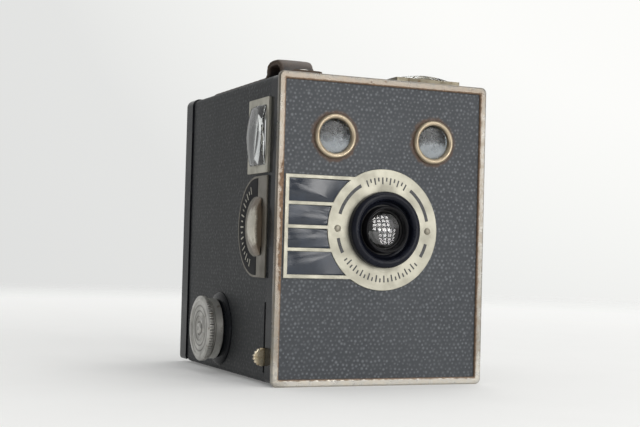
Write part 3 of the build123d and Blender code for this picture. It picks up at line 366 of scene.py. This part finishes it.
def brass(name):
    s = Shade(name)
    cloudy = s.noise(1.8, 5)
    color = s.ramp(cloudy, (0.35, (0.74, 0.68, 0.54)), (0.58, (0.52, 0.43, 0.28)), (0.75, (0.18, 0.12, 0.07)))
    hollow = s.between(s.pointiness(), 0.42, 0.50, 0.7, 0.0)
    color = s.mix(hollow, color, (0.08, 0.06, 0.03))
    rough = s.between(cloudy, 0.3, 0.8, 0.28, 0.55)
    return s.base(color=color, rough=rough, metal=0.95, normal=s.bump(s.noise(0.4, 3), 0.02, 0.5)).material


def matte_black(name, tint=(0.012, 0.012, 0.013)):
    s = Shade(name)
    mottled = s.noise(2.5, 5)
    color = s.ramp(mottled, (0.3, tint), (0.75, tuple(2.4 * c for c in tint)))
    rough = s.between(mottled, 0.3, 0.8, 0.62, 0.85)
    return s.base(color=color, rough=rough, normal=s.bump(s.noise(0.3, 3), 0.03, 0.5)).material


def glass(name, tint, smear=0.02, ior=1.52):
    """Glass with the faint film and dust of an old lens."""
    s = Shade(name)
    film = s.noise(5.5, 2)
    rough = s.between(film, 0.35, 0.8, 0.0, smear)
    color = s.mix(s.between(film, 0.3, 0.8), tint, tuple(0.93 * c for c in tint))
    return s.base(color=color, rough=rough, glass=1.0, ior=ior).material


def finder_glass_with_painted_glow(name, centre_z, reach_mm):
    """Finder glass: clear above, with a painted glow in its lower half, a pale cloud that stands in for the lit
    view through the finder.
    """
    s = Shade(name)
    _, _, z = s.axes()
    film = s.noise(2.2, 4)
    drop = s.math("MULTIPLY", s.math("SUBTRACT", z, centre_z), 1 / MM)
    drop = s.math("ADD", drop, s.between(film, 0.3, 0.7, -0.9, 0.9))
    # painted glow: pale colour in place of clear glass, strongest at the bottom
    painted_glow = s.between(drop, -reach_mm, 1.4, 0.62, 0.0)
    color = s.mix(painted_glow, (0.40, 0.44, 0.47), (0.46, 0.50, 0.54))
    clear = s.math("SUBTRACT", 1.0, painted_glow)
    return s.base(color=color, rough=s.between(film, 0.3, 0.8, 0.20, 0.32), glass=clear, ior=1.5).material


def mirror(name):
    s = Shade(name)
    spots = s.between(s.noise(1.6, 6), 0.62, 0.72)
    color = s.mix(spots, (0.86, 0.87, 0.87), (0.42, 0.38, 0.32))
    rough = s.between(spots, 0.0, 1.0, 0.04, 0.35)
    return s.base(color=color, rough=rough, metal=1.0).material


def strap_leather(name):
    """Hard black leather, rubbed brown where a hand bends it."""
    s = Shade(name)
    top = s.attribute("wear")
    pores = s.cells(0.55)
    creases = s.noise(1.3, 5, (3, 1, 1), 0.65)
    broad = s.noise(7, 4)
    black = s.ramp(broad, (0.3, (0.012, 0.010, 0.010)), (0.75, (0.034, 0.026, 0.023)))
    brown = s.ramp(creases, (0.35, (0.040, 0.027, 0.021)), (0.7, (0.105, 0.070, 0.050)))
    share = s.between(s.math("ADD", top, s.math("MULTIPLY", broad, 0.6)), 0.55, 1.15)
    color = s.mix(share, black, brown)
    normal = s.bump(creases, 0.10, 0.7)
    normal = s.bump(pores, 0.05, 0.45, normal)
    rough = s.between(creases, 0.3, 0.8, 0.40, 0.66)
    return s.base(color=color, rough=rough, normal=normal, specular=0.5).material


def raw_edge(name):
    s = Shade(name)
    fibres = s.noise(0.4, 5, (1, 0.3, 3), 0.7)
    color = s.ramp(fibres, (0.3, (0.035, 0.024, 0.019)), (0.75, (0.17, 0.12, 0.085)))
    return s.base(color=color, rough=0.85, normal=s.bump(fibres, 0.12, 0.8)).material


def ink(name, tint=(0.02, 0.02, 0.022)):
    s = Shade(name)
    worn = s.noise(0.8, 5)
    color = s.ramp(worn, (0.35, tint), (0.75, tuple(3.5 * c for c in tint)))
    return s.base(color=color, rough=s.between(worn, 0.3, 0.8, 0.35, 0.6)).material


# ---------------------------------------------------------------- measures from the CAD model
RIM_FACE = 2.6 * MM
RIM_LOW, RIM_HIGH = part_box("front_rim")
PLATE_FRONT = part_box("lens_plate")[0].y
RING_LOW, RING_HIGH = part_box("lens_ring")
LENS_Z = (RING_LOW.z + RING_HIGH.z) / 2
KNOB_LOW, KNOB_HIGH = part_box("winding_knob")
KNOB_Y = (KNOB_LOW.y + KNOB_HIGH.y) / 2
KNOB_Z = (KNOB_LOW.z + KNOB_HIGH.z) / 2

# ---------------------------------------------------------------- materials
EYE_LOW, EYE_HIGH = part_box("finder_rings")
EYE_RADIUS = (EYE_HIGH.z - EYE_LOW.z) / 2
EYE_Z = (EYE_HIGH.z + EYE_LOW.z) / 2
EYE_CENTRES = (EYE_LOW.x + EYE_RADIUS, EYE_HIGH.x - EYE_RADIUS)
RING_STAINS = [(eye_x, EYE_Z, EYE_RADIUS / MM) for eye_x in EYE_CENTRES]
FRONT_SKIN = leatherette("front_leatherette", (0.034, 0.039, 0.046), (0.112, 0.123, 0.138),
                         (0.072, 0.081, 0.090), RING_STAINS)
# a darker copy of the front's leatherette: painted shade on the sides, top and bottom that it wraps
SHADED_SIDE_SKIN = leatherette("side_leatherette_painted_shade", (0.011, 0.013, 0.015), (0.027, 0.030, 0.033),
                        (0.024, 0.027, 0.029))
BACK_SKIN = leatherette("back_leatherette", (0.023, 0.026, 0.029), (0.080, 0.088, 0.094), (0.05, 0.055, 0.06))
ENAMEL = enamel("black_enamel")
ENAMEL_RING = enamel("ring_enamel", (0.006, 0.007, 0.012), 0.18, 0.1, (0.12, 0.12, 0.13), 0.17)
ENAMEL_BLUE = enamel("plate_enamel", (0.010, 0.016, 0.028), 0.09, 0.3, (0.30, 0.27, 0.22), 0.6)
ENAMEL_WORN = enamel("worn_enamel", (0.005, 0.005, 0.006), 0.3, 1.2, (0.30, 0.28, 0.25), 0.04)
NICKEL = nickel("nickel_plate", crevice=True)
NICKEL_WARM = nickel("ring_nickel", (0.44, 0.425, 0.355), 0.42, 0.45, 0.1, (0.25, 0.22, 0.15), False, 11.0)
NICKEL_SATIN = nickel("rivet_nickel", (0.40, 0.375, 0.31), 0.55, 0.3, 0.1, (0.25, 0.22, 0.15))
NICKEL_GOLD = nickel("finder_nickel", (0.60, 0.50, 0.36), 0.28, 0.5, 0.5, (0.26, 0.17, 0.09), True)
NICKEL_OLIVE = nickel("side_nickel", (0.50, 0.48, 0.41), 0.36, 0.6, 0.4, (0.20, 0.17, 0.12))
NICKEL_GRIP = nickel_with_painted_highlight("grip_nickel", "closeup_slide", 1.6)
NICKEL_SLIDE = nickel("slide_nickel", (0.215, 0.20, 0.17), 0.40, 0.6, 0.5, (0.10, 0.085, 0.06))
NICKEL_BROWN = nickel("top_nickel", (0.24, 0.215, 0.16), 0.42, 0.7, 0.8, (0.10, 0.075, 0.045))
NICKEL_DARK = nickel("dark_nickel", (0.045, 0.045, 0.045), 0.34, 0.4, 0.1)
TUBE_BLACK = enamel("tube_black", (0.006, 0.006, 0.007), 0.3, 0.0)
RIM = rim_nickel("rim_nickel")
KNOB = turned_metal("knob_nickel", 1, 2, KNOB_Y, KNOB_Z, (0.52, 0.51, 0.48))
STEEL = steel("bright_steel")
SHELL_STEEL = steel("shell_steel", (0.33, 0.33, 0.33), 0.4)
BRASS = brass("worn_brass")
DARK_STEEL = steel("blackened_steel", (0.035, 0.035, 0.036), 0.5)
MATTE = matte_black("matte_black")
GLASS = glass("clear_glass", (0.96, 0.98, 0.97))
EYE_GLASS = finder_glass_with_painted_glow("finder_glass", EYE_Z, 3.6)
LENS_GLASS = glass("lens_glass", (0.97, 0.97, 0.98), 0.015, 1.85)
RED_GLASS = glass("red_glass", (0.55, 0.03, 0.015), 0.08)
MIRROR = mirror("mirror_glass")
LEATHER = strap_leather("strap_leather")
EDGE = raw_edge("leather_edge")
INK = ink("plate_ink")

FINISH = {
    ENAMEL: ["front_panel", "back_door", "winding_seat"],
    ENAMEL_RING: ["lens_ring"],
    ENAMEL_BLUE: ["lens_plate_enamel"],
    ENAMEL_WORN: ["slide_plate_enamel"],
    NICKEL_SATIN: ["lens_plate_rivets"],
    NICKEL: ["handle_studs", "rear_feet", "window_bezel", "tripod_sockets",
             "back_door_pull"],
    NICKEL_WARM: ["lens_plate"],
    NICKEL_GOLD: ["finder_rings"],
    NICKEL_OLIVE: ["finder_frame_side"],
    NICKEL_GRIP: ["closeup_slide"],
    NICKEL_SLIDE: ["slide_plate"],
    NICKEL_BROWN: ["finder_frame_top"],
    NICKEL_DARK: ["lens_retainer"],
    TUBE_BLACK: ["lens_tube"],
    RIM: ["front_rim"],
    KNOB: ["winding_knob"],
    DARK_STEEL: ["shutter_board", "shutter_disc", "slide_guides"],
    STEEL: ["shutter_posts", "shutter_screws", "shutter_pivot_pins", "shutter_spring", "winding_shaft",
            "winding_shaft_clip", "film_roller_upper", "film_roller_lower", "roller_axles",
            "spool_pivots", "hinge_leaf_body", "hinge_leaf_door", "hinge_pin", "pressure_springs",
            "catch_spring"],
    SHELL_STEEL: ["body_shell"],
    BRASS: ["shutter_lever"],
    MATTE: ["finder_housing_side", "finder_housing_top", "light_cone", "film_carrier", "film_gate",
            "pressure_plate", "take_up_spool"],
    LENS_GLASS: ["taking_lens"],
    EYE_GLASS: ["finder_front_lenses"],
    GLASS: ["finder_eye_lens_side", "finder_eye_lens_top", "closeup_lens"],
    RED_GLASS: ["red_window"],
    MIRROR: ["finder_mirrors"],
}
BEVELS = {  # width in mm of the broken edge on the pieces that are cut or pressed from sheet
    "front_panel": 0.12, "back_door": 0.2, "winding_seat": 0.15, "lens_plate": 0.16,
    "slide_plate": 0.14, "closeup_slide": 0.14, "finder_frame_side": 0.16, "finder_frame_top": 0.2,
    "finder_rings": 0.1, "winding_knob": 0.08, "lens_ring": 0.1, "back_door_pull": 0.12,
    "shutter_lever": 0.12, "window_bezel": 0.1,
}


FLAT = {"lens_plate"}  # shaded flat, so that its face stays even between the rivet holes
WELD_WITHIN = 1e-6
BROKEN_ABOVE = math.radians(38)  # edges sharper than this are broken


def dress(node, material):
    """Gives a CAD node its material, smooth shading and, where it is sheet or turned, a broken edge."""
    ob = NODES[node]
    ob.data.materials.clear()
    ob.data.materials.append(material)
    ob.data.polygons.foreach_set("material_index", [0] * len(ob.data.polygons))
    weld = ob.modifiers.new("weld", "WELD")
    weld.merge_threshold = WELD_WITHIN
    if node in BEVELS:
        bevel = ob.modifiers.new("edges", "BEVEL")
        bevel.width = BEVELS[node] * MM
        bevel.segments = 2
        bevel.limit_method = "ANGLE"
        bevel.angle_limit = BROKEN_ABOVE
        bevel.use_clamp_overlap = True
    if node not in FLAT:
        smooth(ob)


def smooth(ob, angle=33):
    """Smooth shading with sharp edges kept above this angle."""
    ob.data.polygons.foreach_set("use_smooth", [True] * len(ob.data.polygons))
    ob.data.update()
    if ob.get("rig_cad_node"):
        normals = ob.modifiers.new("normals", "WEIGHTED_NORMAL")
        normals.keep_sharp = True
    else:
        ob.data.set_sharp_from_angle(angle=math.radians(angle))


for finish, names in FINISH.items():
    for each in names:
        dress(each, finish)


# ---------------------------------------------------------------- new pieces
def make_object(name, verts, faces, material, body="camera", smooth_angle=33):
    mesh = bpy.data.meshes.new(name)
    mesh.from_pydata([tuple(v) for v in verts], [], faces)
    mesh.validate()
    mesh.update()
    ob = bpy.data.objects.new(name, mesh)
    SCENE.collection.objects.link(ob)
    mesh.materials.append(material)
    smooth(ob, smooth_angle)
    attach(ob, body)
    return ob


def lattice_hash(i, j, seed):
    """Pseudo-random numbers from 0 to 1 for the cells of a grid."""
    value = (i * 374761393 + j * 668265263 + seed * 1442695041) & 0xFFFFFFFF
    value = ((value ^ (value >> 13)) * 1274126177) & 0xFFFFFFFF
    return ((value ^ (value >> 16)) & 0xFFFFFF) / float(0xFFFFFF)


ROW_RATIO = 0.866   # row height of the grain's lattice, as a share of its pitch
STRAY = 0.46        # how far a grain strays from its place in the lattice, as a share of the pitch


def grain_height(u, v, pitch, radius, seed):
    """Height from 0 to 1 of an irregular field of round grains, at points given in mm."""
    row_height = pitch * ROW_RATIO
    base_row = np.floor(v / row_height).astype(np.int64)
    best = np.zeros_like(u)
    for dj in (-1, 0, 1, 2):
        row = base_row + dj
        offset = (row % 2) * 0.5 * pitch
        base_col = np.floor((u - offset) / pitch).astype(np.int64)
        for di in (-1, 0, 1, 2):
            col = base_col + di
            jitter_u = (lattice_hash(col, row, seed) - 0.5) * STRAY * pitch
            jitter_v = (lattice_hash(col, row, seed + 7) - 0.5) * STRAY * pitch
            size = radius * (0.72 + 0.5 * lattice_hash(col, row, seed + 13))
            tall = 0.45 + 0.55 * lattice_hash(col, row, seed + 29)
            du = u - (col * pitch + offset + jitter_u)
            dv = v - (row * row_height + jitter_v)
            t = np.clip(1 - (du * du + dv * dv) / (size * size), 0, 1)
            best = np.maximum(best, tall * t * t * (3 - 2 * t))
    return best


TOUCHING = 0.02 * MM    # a point of the sheet this near the CAD surface lies on it
TURN_IN = 0.45 * MM     # how deep the sheet's free edges go
SINK = 0.25             # share of the relief that lies under the CAD surface


def covering(name, node, points, normals, u, v, pitch, radius, relief, material, body, seed):
    """Leatherette as a fine sheet over the CAD node's outer face, cut where that face is cut."""
    rows, cols = u.shape
    cad = NODES[node]
    tree = BVHTree.FromPolygons([v_.co for v_ in cad.data.vertices],
                                [tuple(p.vertices) for p in cad.data.polygons])
    step = (points[0, 1] - points[0, 0]).length
    reach = 0.75 * step
    flat_points = points.reshape(-1)
    flat_normals = normals.reshape(-1)
    near = np.zeros(rows * cols)
    snapped = {}
    for index, point in enumerate(flat_points):
        found, _, _, distance = tree.find_nearest(point, 2 * step)
        near[index] = 9.0 if found is None else distance
        if found is not None and distance > TOUCHING:
            snapped[index] = found
    index_grid = np.arange(rows * cols).reshape(rows, cols)
    quads = np.stack([index_grid[:-1, :-1], index_grid[:-1, 1:], index_grid[1:, 1:], index_grid[1:, :-1]],
                     axis=-1).reshape(-1, 4)
    keep = (near[quads] < reach).all(axis=1) & (near[quads] < TOUCHING).any(axis=1)
    quads = quads[keep]
    edge_count = {}
    for quad in quads:
        for a, b in zip(quad, np.roll(quad, -1)):
            key = (min(a, b), max(a, b))
            edge_count[key] = edge_count.get(key, 0) + 1
    rim = {int(i) for key, count in edge_count.items() if count == 1 for i in key}
    grain = grain_height(u.reshape(-1), v.reshape(-1), pitch, radius, seed)
    fade = np.ones(rows * cols)
    fade[sorted(rim)] = 0.0
    used = sorted(set(quads.reshape(-1).tolist()))
    remap = {old: new for new, old in enumerate(used)}
    verts, values = [], []
    for old in used:
        height = (grain[old] * relief - SINK * relief) * fade[old]
        base = snapped.get(old, flat_points[old]) if old in rim else flat_points[old]
        verts.append(base + flat_normals[old] * height)
        values.append(grain[old])
    faces = [tuple(remap[int(i)] for i in quad) for quad in quads]
    # turn the free edges inward, so that the sheet has thickness
    skirt = {}
    for old in sorted(rim):
        skirt[old] = len(verts)
        base = snapped.get(old, flat_points[old])
        verts.append(base - flat_normals[old] * TURN_IN)
        values.append(0.0)
    for quad in quads:
        for a, b in zip(quad, np.roll(quad, -1)):
            a, b = int(a), int(b)
            if edge_count[(min(a, b), max(a, b))] == 1:
                faces.append((remap[b], remap[a], skirt[a], skirt[b]))
    ob = make_object(name, verts, faces, material, body, 60)
    attribute = ob.data.attributes.new("grain", "FLOAT", "POINT")
    attribute.data.foreach_set("value", values)
    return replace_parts(ob, node)


def plane_covering(name, node, facing, step, pitch, radius, relief, material, body, seed):
    """Covering over a flat node that faces -Y or +Y."""
    low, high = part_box(node)
    xs = np.arange(low.x, high.x + step * 0.5, step)
    zs = np.arange(low.z, high.z + step * 0.5, step)
    xs[-1], zs[-1] = high.x, high.z
    y = low.y if facing < 0 else high.y
    order = xs if facing < 0 else xs[::-1]
    points = np.empty((len(zs), len(xs)), dtype=object)
    normals = np.empty_like(points)
    normal = Vector((0, facing, 0))
    for r, z in enumerate(zs):
        for c, x in enumerate(order):
            points[r, c] = Vector((x, y, z))
            normals[r, c] = normal
    u, v = np.meshgrid(order / MM, zs / MM)
    return covering(name, node, points, normals, u, v, pitch, radius, relief, material, body, seed)


def wrap_covering(name, node, corner, step, pitch, radius, relief, material, body, seed):
    """Covering wound round the body, from one free edge along Y to the other."""
    low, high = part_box(node)
    cx, cz = (low.x + high.x) / 2, (low.z + high.z) / 2
    half_w, half_h = (high.x - low.x) / 2, (high.z - low.z) / 2
    path = []
    corners = [(1, -1, -90), (1, 1, 0), (-1, 1, 90), (-1, -1, 180)]
    corner_steps = 6
    outline = []
    for sx, sz, start in corners:
        centre = Vector((cx + sx * (half_w - corner), 0, cz + sz * (half_h - corner)))
        for k in range(corner_steps + 1):
            angle = math.radians(start + 90 * k / corner_steps)
            normal = Vector((math.cos(angle), 0, math.sin(angle)))
            outline.append((centre + normal * corner, normal))
    outline.append(outline[0])
    for (p, n), (q, m) in zip(outline, outline[1:]):
        length = (q - p).length
        count = max(1, round(length / step)) if length > 4 * step else 1
        for k in range(count):
            t = k / count
            path.append((p.lerp(q, t), n.lerp(m, t).normalized()))
    path.append(path[0])
    ys = np.linspace(low.y, high.y, round((high.y - low.y) / step) + 1)
    points = np.empty((len(path), len(ys)), dtype=object)
    normals = np.empty_like(points)
    u = np.zeros(points.shape)
    v = np.zeros(points.shape)
    along = 0.0
    for r, (p, n) in enumerate(path):
        if r:
            along += (p - path[r - 1][0]).length / MM
        for c, y in enumerate(ys):
            points[r, c] = Vector((p.x, y, p.z))
            normals[r, c] = n
            u[r, c] = y / MM
            v[r, c] = along
    return covering(name, node, points, normals, u, v, pitch, radius, relief, material, body, seed)


plane_covering("front_leather", "front_covering", -1, 0.27 * MM, 1.66, 0.60, 0.14 * MM,
               FRONT_SKIN, "camera", 3)
wrap_covering("side_leather", "body_covering", 2.0 * MM, 0.36 * MM, 1.6, 0.58, 0.12 * MM,
              SHADED_SIDE_SKIN, "camera", 11)
plane_covering("back_leather", "back_door_covering", 1, 0.33 * MM, 1.85, 0.66, 0.14 * MM,
               BACK_SKIN, "back", 23)


# ---------------------------------------------------------------- marks on the plates
def arc_mark(name, centre, normal, across, up, r0, r1, spans, thick, material, body):
    """Raised enamel strokes on arcs about a centre; spans are pairs of angles in degrees."""
    verts, faces = [], []
    for start, end in spans:
        count = max(2, round(abs(end - start) / 3))
        first = len(verts)
        for k in range(count + 1):
            angle = math.radians(start + (end - start) * k / count)
            ray = across * math.cos(angle) + up * math.sin(angle)
            for radius, lift in ((r0, 0.0), (r0, thick), (r1, thick), (r1, 0.0)):
                verts.append(centre + ray * radius + normal * lift)
        for k in range(count):
            a = first + 4 * k
            for i in range(3):
                faces.append((a + i, a + 4 + i, a + 5 + i, a + 1 + i))
        faces.append((first, first + 1, first + 2, first + 3))
        last = first + 4 * count
        faces.append((last + 3, last + 2, last + 1, last))
    ob = make_object(name, verts, faces, material, body)
    mesh_normals_out(ob)
    return ob


def mesh_normals_out(ob):
    work = bmesh.new()
    work.from_mesh(ob.data)
    bmesh.ops.recalc_face_normals(work, faces=work.faces)
    work.to_mesh(ob.data)
    work.free()


X_AXIS, Y_AXIS, Z_AXIS = Vector((1, 0, 0)), Vector((0, 1, 0)), Vector((0, 0, 1))
STROKE = 0.05 * MM      # how far a mark stands out from its plate


def plate_mark(name, r0_mm, r1_mm, spans):
    """Black marks on the lens plate, round the lens."""
    centre = Vector((0, PLATE_FRONT, LENS_Z))
    arc_mark(name, centre, -Y_AXIS, X_AXIS, Z_AXIS, r0_mm * MM, r1_mm * MM, spans, STROKE,
             INK, "camera")


def slide_mark(name, r0_mm, r1_mm, spans):
    """Bare metal marks on the black arc of the side plate."""
    arc_centre_in = 17.85 * MM  # from the plate's rear edge to the centre of its arcs
    centre = Vector((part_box("slide_plate_enamel")[0].x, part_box("slide_plate")[1].y - arc_centre_in, LENS_Z))
    arc_mark(name, centre, -X_AXIS, Y_AXIS, Z_AXIS, r0_mm * MM, r1_mm * MM, spans, STROKE,
             NICKEL_OLIVE, "camera")


def tick_row(start, end, count, half_width):
    """Spans in degrees of evenly set ticks from one angle to another."""
    middles = [start + (end - start) * k / (count - 1) for k in range(count)]
    return [(middle - half_width, middle + half_width) for middle in middles]


plate_mark("plate_dashes", 17.0, 18.2, [(11.5, 54), (120.5, 163.5), (191, 208.5), (328.5, 345)])
plate_row = tick_row(62, 112, 11, 0.85) + tick_row(217, 318, 21, 0.85)
plate_mark("plate_ticks", 16.1, 18.5, plate_row[::2])
plate_mark("plate_ticks_short", 17.1, 18.5, plate_row[1::2])
side_row = tick_row(-68, 68, 17, 1.1)
slide_mark("slide_ticks", 12.4, 15.2, side_row[::2])
slide_mark("slide_ticks_short", 13.2, 14.6, side_row[1::2])


# ---------------------------------------------------------------- handle strap
def strap():
    """Hard leather humped over the fingers' gap, thicker underneath along the hump, where it lies in two
    thicknesses.
    """
    low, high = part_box("handle_strap")
    base = low.z
    thick = 2.0 * MM
    run = 83.6              # length in mm that the stations are given for
    fold = 0.35             # how much thicker the leather is where it is folded under the hump
    hump = high.z - base - thick
    y0, y1 = low.y, high.y
    stations = [(0.0, 0), (4.0, 0), (8.4, 0.02), (9.7, 0.35), (10.6, 0.62), (12.0, 0.86), (14.0, 0.985),
                (17.5, 1.0), (20.4, 0.985), (21.9, 0.90), (22.75, 0.66), (22.95, 0.36), (23.6, 0.12),
                (25.0, 0.0), (36.0, 0.0), (60.0, 0.0), (run, 0.0)]
    scale = (y1 - y0) / (run * MM)
    ys = np.array([y0 + s * MM * scale for s, _ in stations])
    zs = np.array([base + thick / 2 + h * hump for _, h in stations])
    count = 150
    t = np.linspace(0, 1, count)
    length = np.concatenate([[0], np.cumsum(np.hypot(np.diff(ys), np.diff(zs)))])
    length /= length[-1]
    line_y = np.interp(t, length, ys)
    line_z = np.interp(t, length, zs)
    for _ in range(2):
        line_z[1:-1] = 0.25 * line_z[:-2] + 0.5 * line_z[1:-1] + 0.25 * line_z[2:]
        line_y[1:-1] = 0.25 * line_y[:-2] + 0.5 * line_y[1:-1] + 0.25 * line_y[2:]
    half = (high.x - low.x) / 2
    cx = (high.x + low.x) / 2
    # half section, from the middle of the top round the edge to the middle of the base
    section = [(0.0, 1.0), (0.45, 1.0), (0.80, 0.985), (0.93, 0.90), (0.985, 0.66), (0.995, 0.36),
               (0.955, 0.10), (0.945, 0.0), (0.955, -0.10), (0.995, -0.36), (0.985, -0.66),
               (0.93, -0.90), (0.80, -0.985), (0.45, -1.0), (0.0, -1.0)]
    ring = section + [(-a, b) for a, b in section[-2:0:-1]]
    verts, wear = [], []
    for i in range(count):
        a, b = max(i - 1, 0), min(i + 1, count - 1)
        along = Vector((0, line_y[b] - line_y[a], line_z[b] - line_z[a])).normalized()
        up = Vector((0, -along.z, along.y))
        end_in = min(i, count - 1 - i)
        narrow = 1.0 - 0.10 * max(0.0, 1 - end_in / 4.0) ** 2
        wave = 1.0 - 0.012 * math.sin(i * 0.7) - 0.01 * math.sin(i * 1.9 + 1)
        for w, h in ring:
            point = Vector((cx + w * half * narrow * wave, line_y[i], line_z[i]))
            crown = 0.10 * (1 - w * w) * (1 if h > 0 else -0.2)
            hump_here = (line_z[i] - base) / max(hump, 1e-9)
            doubled = 1.0 + (fold * min(1.0, hump_here) if h < 0 else 0.0)
            verts.append(point + up * ((h * 0.93 * doubled + crown * 0.7) * thick / 2))
            wear.append(min(1.0, 0.75 * hump_here + (0.35 if abs(w) > 0.9 and abs(h) > 0.6 else 0)))
    n = len(ring)
    faces, edge_faces = [], []
    for i in range(count - 1):
        for k in range(n):
            faces.append((i * n + k, i * n + (k + 1) % n, (i + 1) * n + (k + 1) % n, (i + 1) * n + k))
            h0, h1 = ring[k][1], ring[(k + 1) % n][1]
            edge_faces.append(abs(h0 + h1) / 2 < 0.70)
    faces.append(tuple(range(n)))
    faces.append(tuple(range((count - 1) * n, count * n))[::-1])
    edge_faces += [True, True]
    ob = make_object("strap", verts, faces, LEATHER, "camera", 50)
    ob.data.materials.append(EDGE)
    mesh_normals_out(ob)
    for polygon, is_edge in zip(ob.data.polygons, edge_faces):
        polygon.material_index = int(is_edge)
    attribute = ob.data.attributes.new("wear", "FLOAT", "POINT")
    attribute.data.foreach_set("value", wear)
    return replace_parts(ob, "handle_strap")


strap()


# ---------------------------------------------------------------- stage
def stage_floor():
    """Pale paper, flat, that fades out at its far edge."""
    s = Shade("paper")
    fibre = s.noise(30, 4)
    color = s.mix(fibre, (0.73, 0.73, 0.725), (0.76, 0.76, 0.755))
    fades_mm, glows_mm = (600.0, 1180.0), (150.0, 800.0)
    x, y, _ = s.axes()
    away = s.radius(x, y, 0.0, 0.0)
    fade = s.between(away, *fades_mm, 1.0, 0.0)
    glow = s.between(away, *glows_mm, 0.15, 0.30)
    s.base(color=color, rough=0.85, normal=s.bump(s.noise(0.8, 3), 0.02, 0.3), alpha=fade, glow=glow)
    s.shader.inputs["Emission Color"].default_value = (1.0, 1.0, 0.985, 1.0)
    rings = [0.0, 0.3, 0.6, 0.9, 1.2]
    segments = 96
    verts = [(0, 0, 0)]
    for radius in rings[1:]:
        for k in range(segments):
            angle = 2 * math.pi * k / segments
            verts.append((radius * math.cos(angle), radius * math.sin(angle), 0))
    faces = [(0, 1 + k, 1 + (k + 1) % segments) for k in range(segments)]
    for r in range(len(rings) - 2):
        a, b = 1 + r * segments, 1 + (r + 1) * segments
        for k in range(segments):
            m = (k + 1) % segments
            faces.append((a + k, b + k, b + m, a + m))
    mesh = bpy.data.meshes.new("stage_floor")
    mesh.from_pydata(verts, [], faces)
    mesh.polygons.foreach_set("use_smooth", [True] * len(mesh.polygons))
    ob = bpy.data.objects.new("stage_floor", mesh)
    ob.data.materials.append(s.material)
    SCENE.collection.objects.link(ob)


def area_light(name, place, target, size, power, color=(1, 1, 1)):
    light = bpy.data.lights.new(name, "AREA")
    light.shape = "RECTANGLE"
    light.size, light.size_y = size
    light.energy = power
    light.color = color
    ob = bpy.data.objects.new(name, light)
    ob.location = place
    ob.rotation_mode = "QUATERNION"
    ob.rotation_quaternion = (Vector(target) - Vector(place)).to_track_quat("-Z", "Y")
    ob.visible_camera = False
    SCENE.collection.objects.link(ob)
    return ob


def window_light():
    """A tall window of small panes in front, to the right: the key light and the lens's reflection."""
    columns, rows = 4, 5
    pane, pitch_across, pitch_up = (0.155, 0.120), 0.235, 0.185
    distance, sill, power = 0.95, 0.10, 0.36
    target = Vector((0, -0.05, LENS_Z))
    away = Vector((0.27, -0.94, 0.0)).normalized()
    side = Vector((away.y, -away.x, 0))
    for column in range(columns):
        for row in range(rows):
            place = target + away * distance + side * (column - (columns - 1) / 2) * pitch_across
            place.z = sill + row * pitch_up
            area_light(f"pane_{column}_{row}", place, place - away, pane, power, (1.0, 0.985, 0.96))


stage_floor()
window_light()
area_light("top_soft", (0.35, 0.1, 1.1), (0, 0, 0.05), (0.9, 0.9), 3.3, (1.0, 0.99, 0.97))

ROOM_BRIGHT_TOWARD = (0.62, 0.66, 0.43)
ROOM = [(0.0, (0.32, 0.325, 0.33)), (0.40, (0.37, 0.375, 0.38)), (0.76, (0.66, 0.665, 0.66)),
        (0.918, (0.775, 0.78, 0.77)), (0.953, (0.91, 0.915, 0.895)), (0.972, (0.975, 0.975, 0.955))]


def room_light():
    """A room that brightens toward one side, above and behind the camera."""
    world = bpy.data.worlds.new("studio")
    world.use_nodes = True
    sky = world.node_tree.nodes
    room = sky.new("ShaderNodeValToRGB")
    while len(room.color_ramp.elements) < len(ROOM):
        room.color_ramp.elements.new(0.5)
    for element, (position, color) in zip(room.color_ramp.elements, ROOM):
        element.position = position
        element.color = (*color, 1.0)
    sweep = sky.new("ShaderNodeMapRange")
    sweep.inputs["From Min"].default_value = -1.0
    toward = sky.new("ShaderNodeVectorMath")
    toward.operation = "DOT_PRODUCT"
    toward.inputs[1].default_value = ROOM_BRIGHT_TOWARD
    around = sky.new("ShaderNodeTexCoord")
    world.node_tree.links.new(around.outputs["Generated"], toward.inputs[0])
    world.node_tree.links.new(toward.outputs["Value"], sweep.inputs["Value"])
    world.node_tree.links.new(sweep.outputs["Result"], room.inputs["Fac"])
    world.node_tree.links.new(room.outputs["Color"], sky["Background"].inputs["Color"])
    sky["Background"].inputs["Strength"].default_value = 1.0
    SCENE.world = world
    SCENE.view_settings.view_transform = "Standard"


def photo_camera():
    """The camera at the photograph's place and angle."""
    lens = bpy.data.cameras.new("photo_view")
    lens.sensor_width = 36
    lens.lens = 70.388
    lens.clip_start, lens.clip_end = 0.02, 20
    camera = bpy.data.objects.new("photo_view", lens)
    right = (0.91595, -0.40045, 0.02653)
    up = (-0.03736, -0.01926, 0.99911)
    back = (-0.3996, -0.9161, -0.0326)
    place = (-0.19674, -0.44682, 0.04552)
    camera.matrix_world = Matrix((*zip(right, up, back, place), (0, 0, 0, 1)))
    SCENE.collection.objects.link(camera)
    SCENE.camera = camera


room_light()
photo_camera()
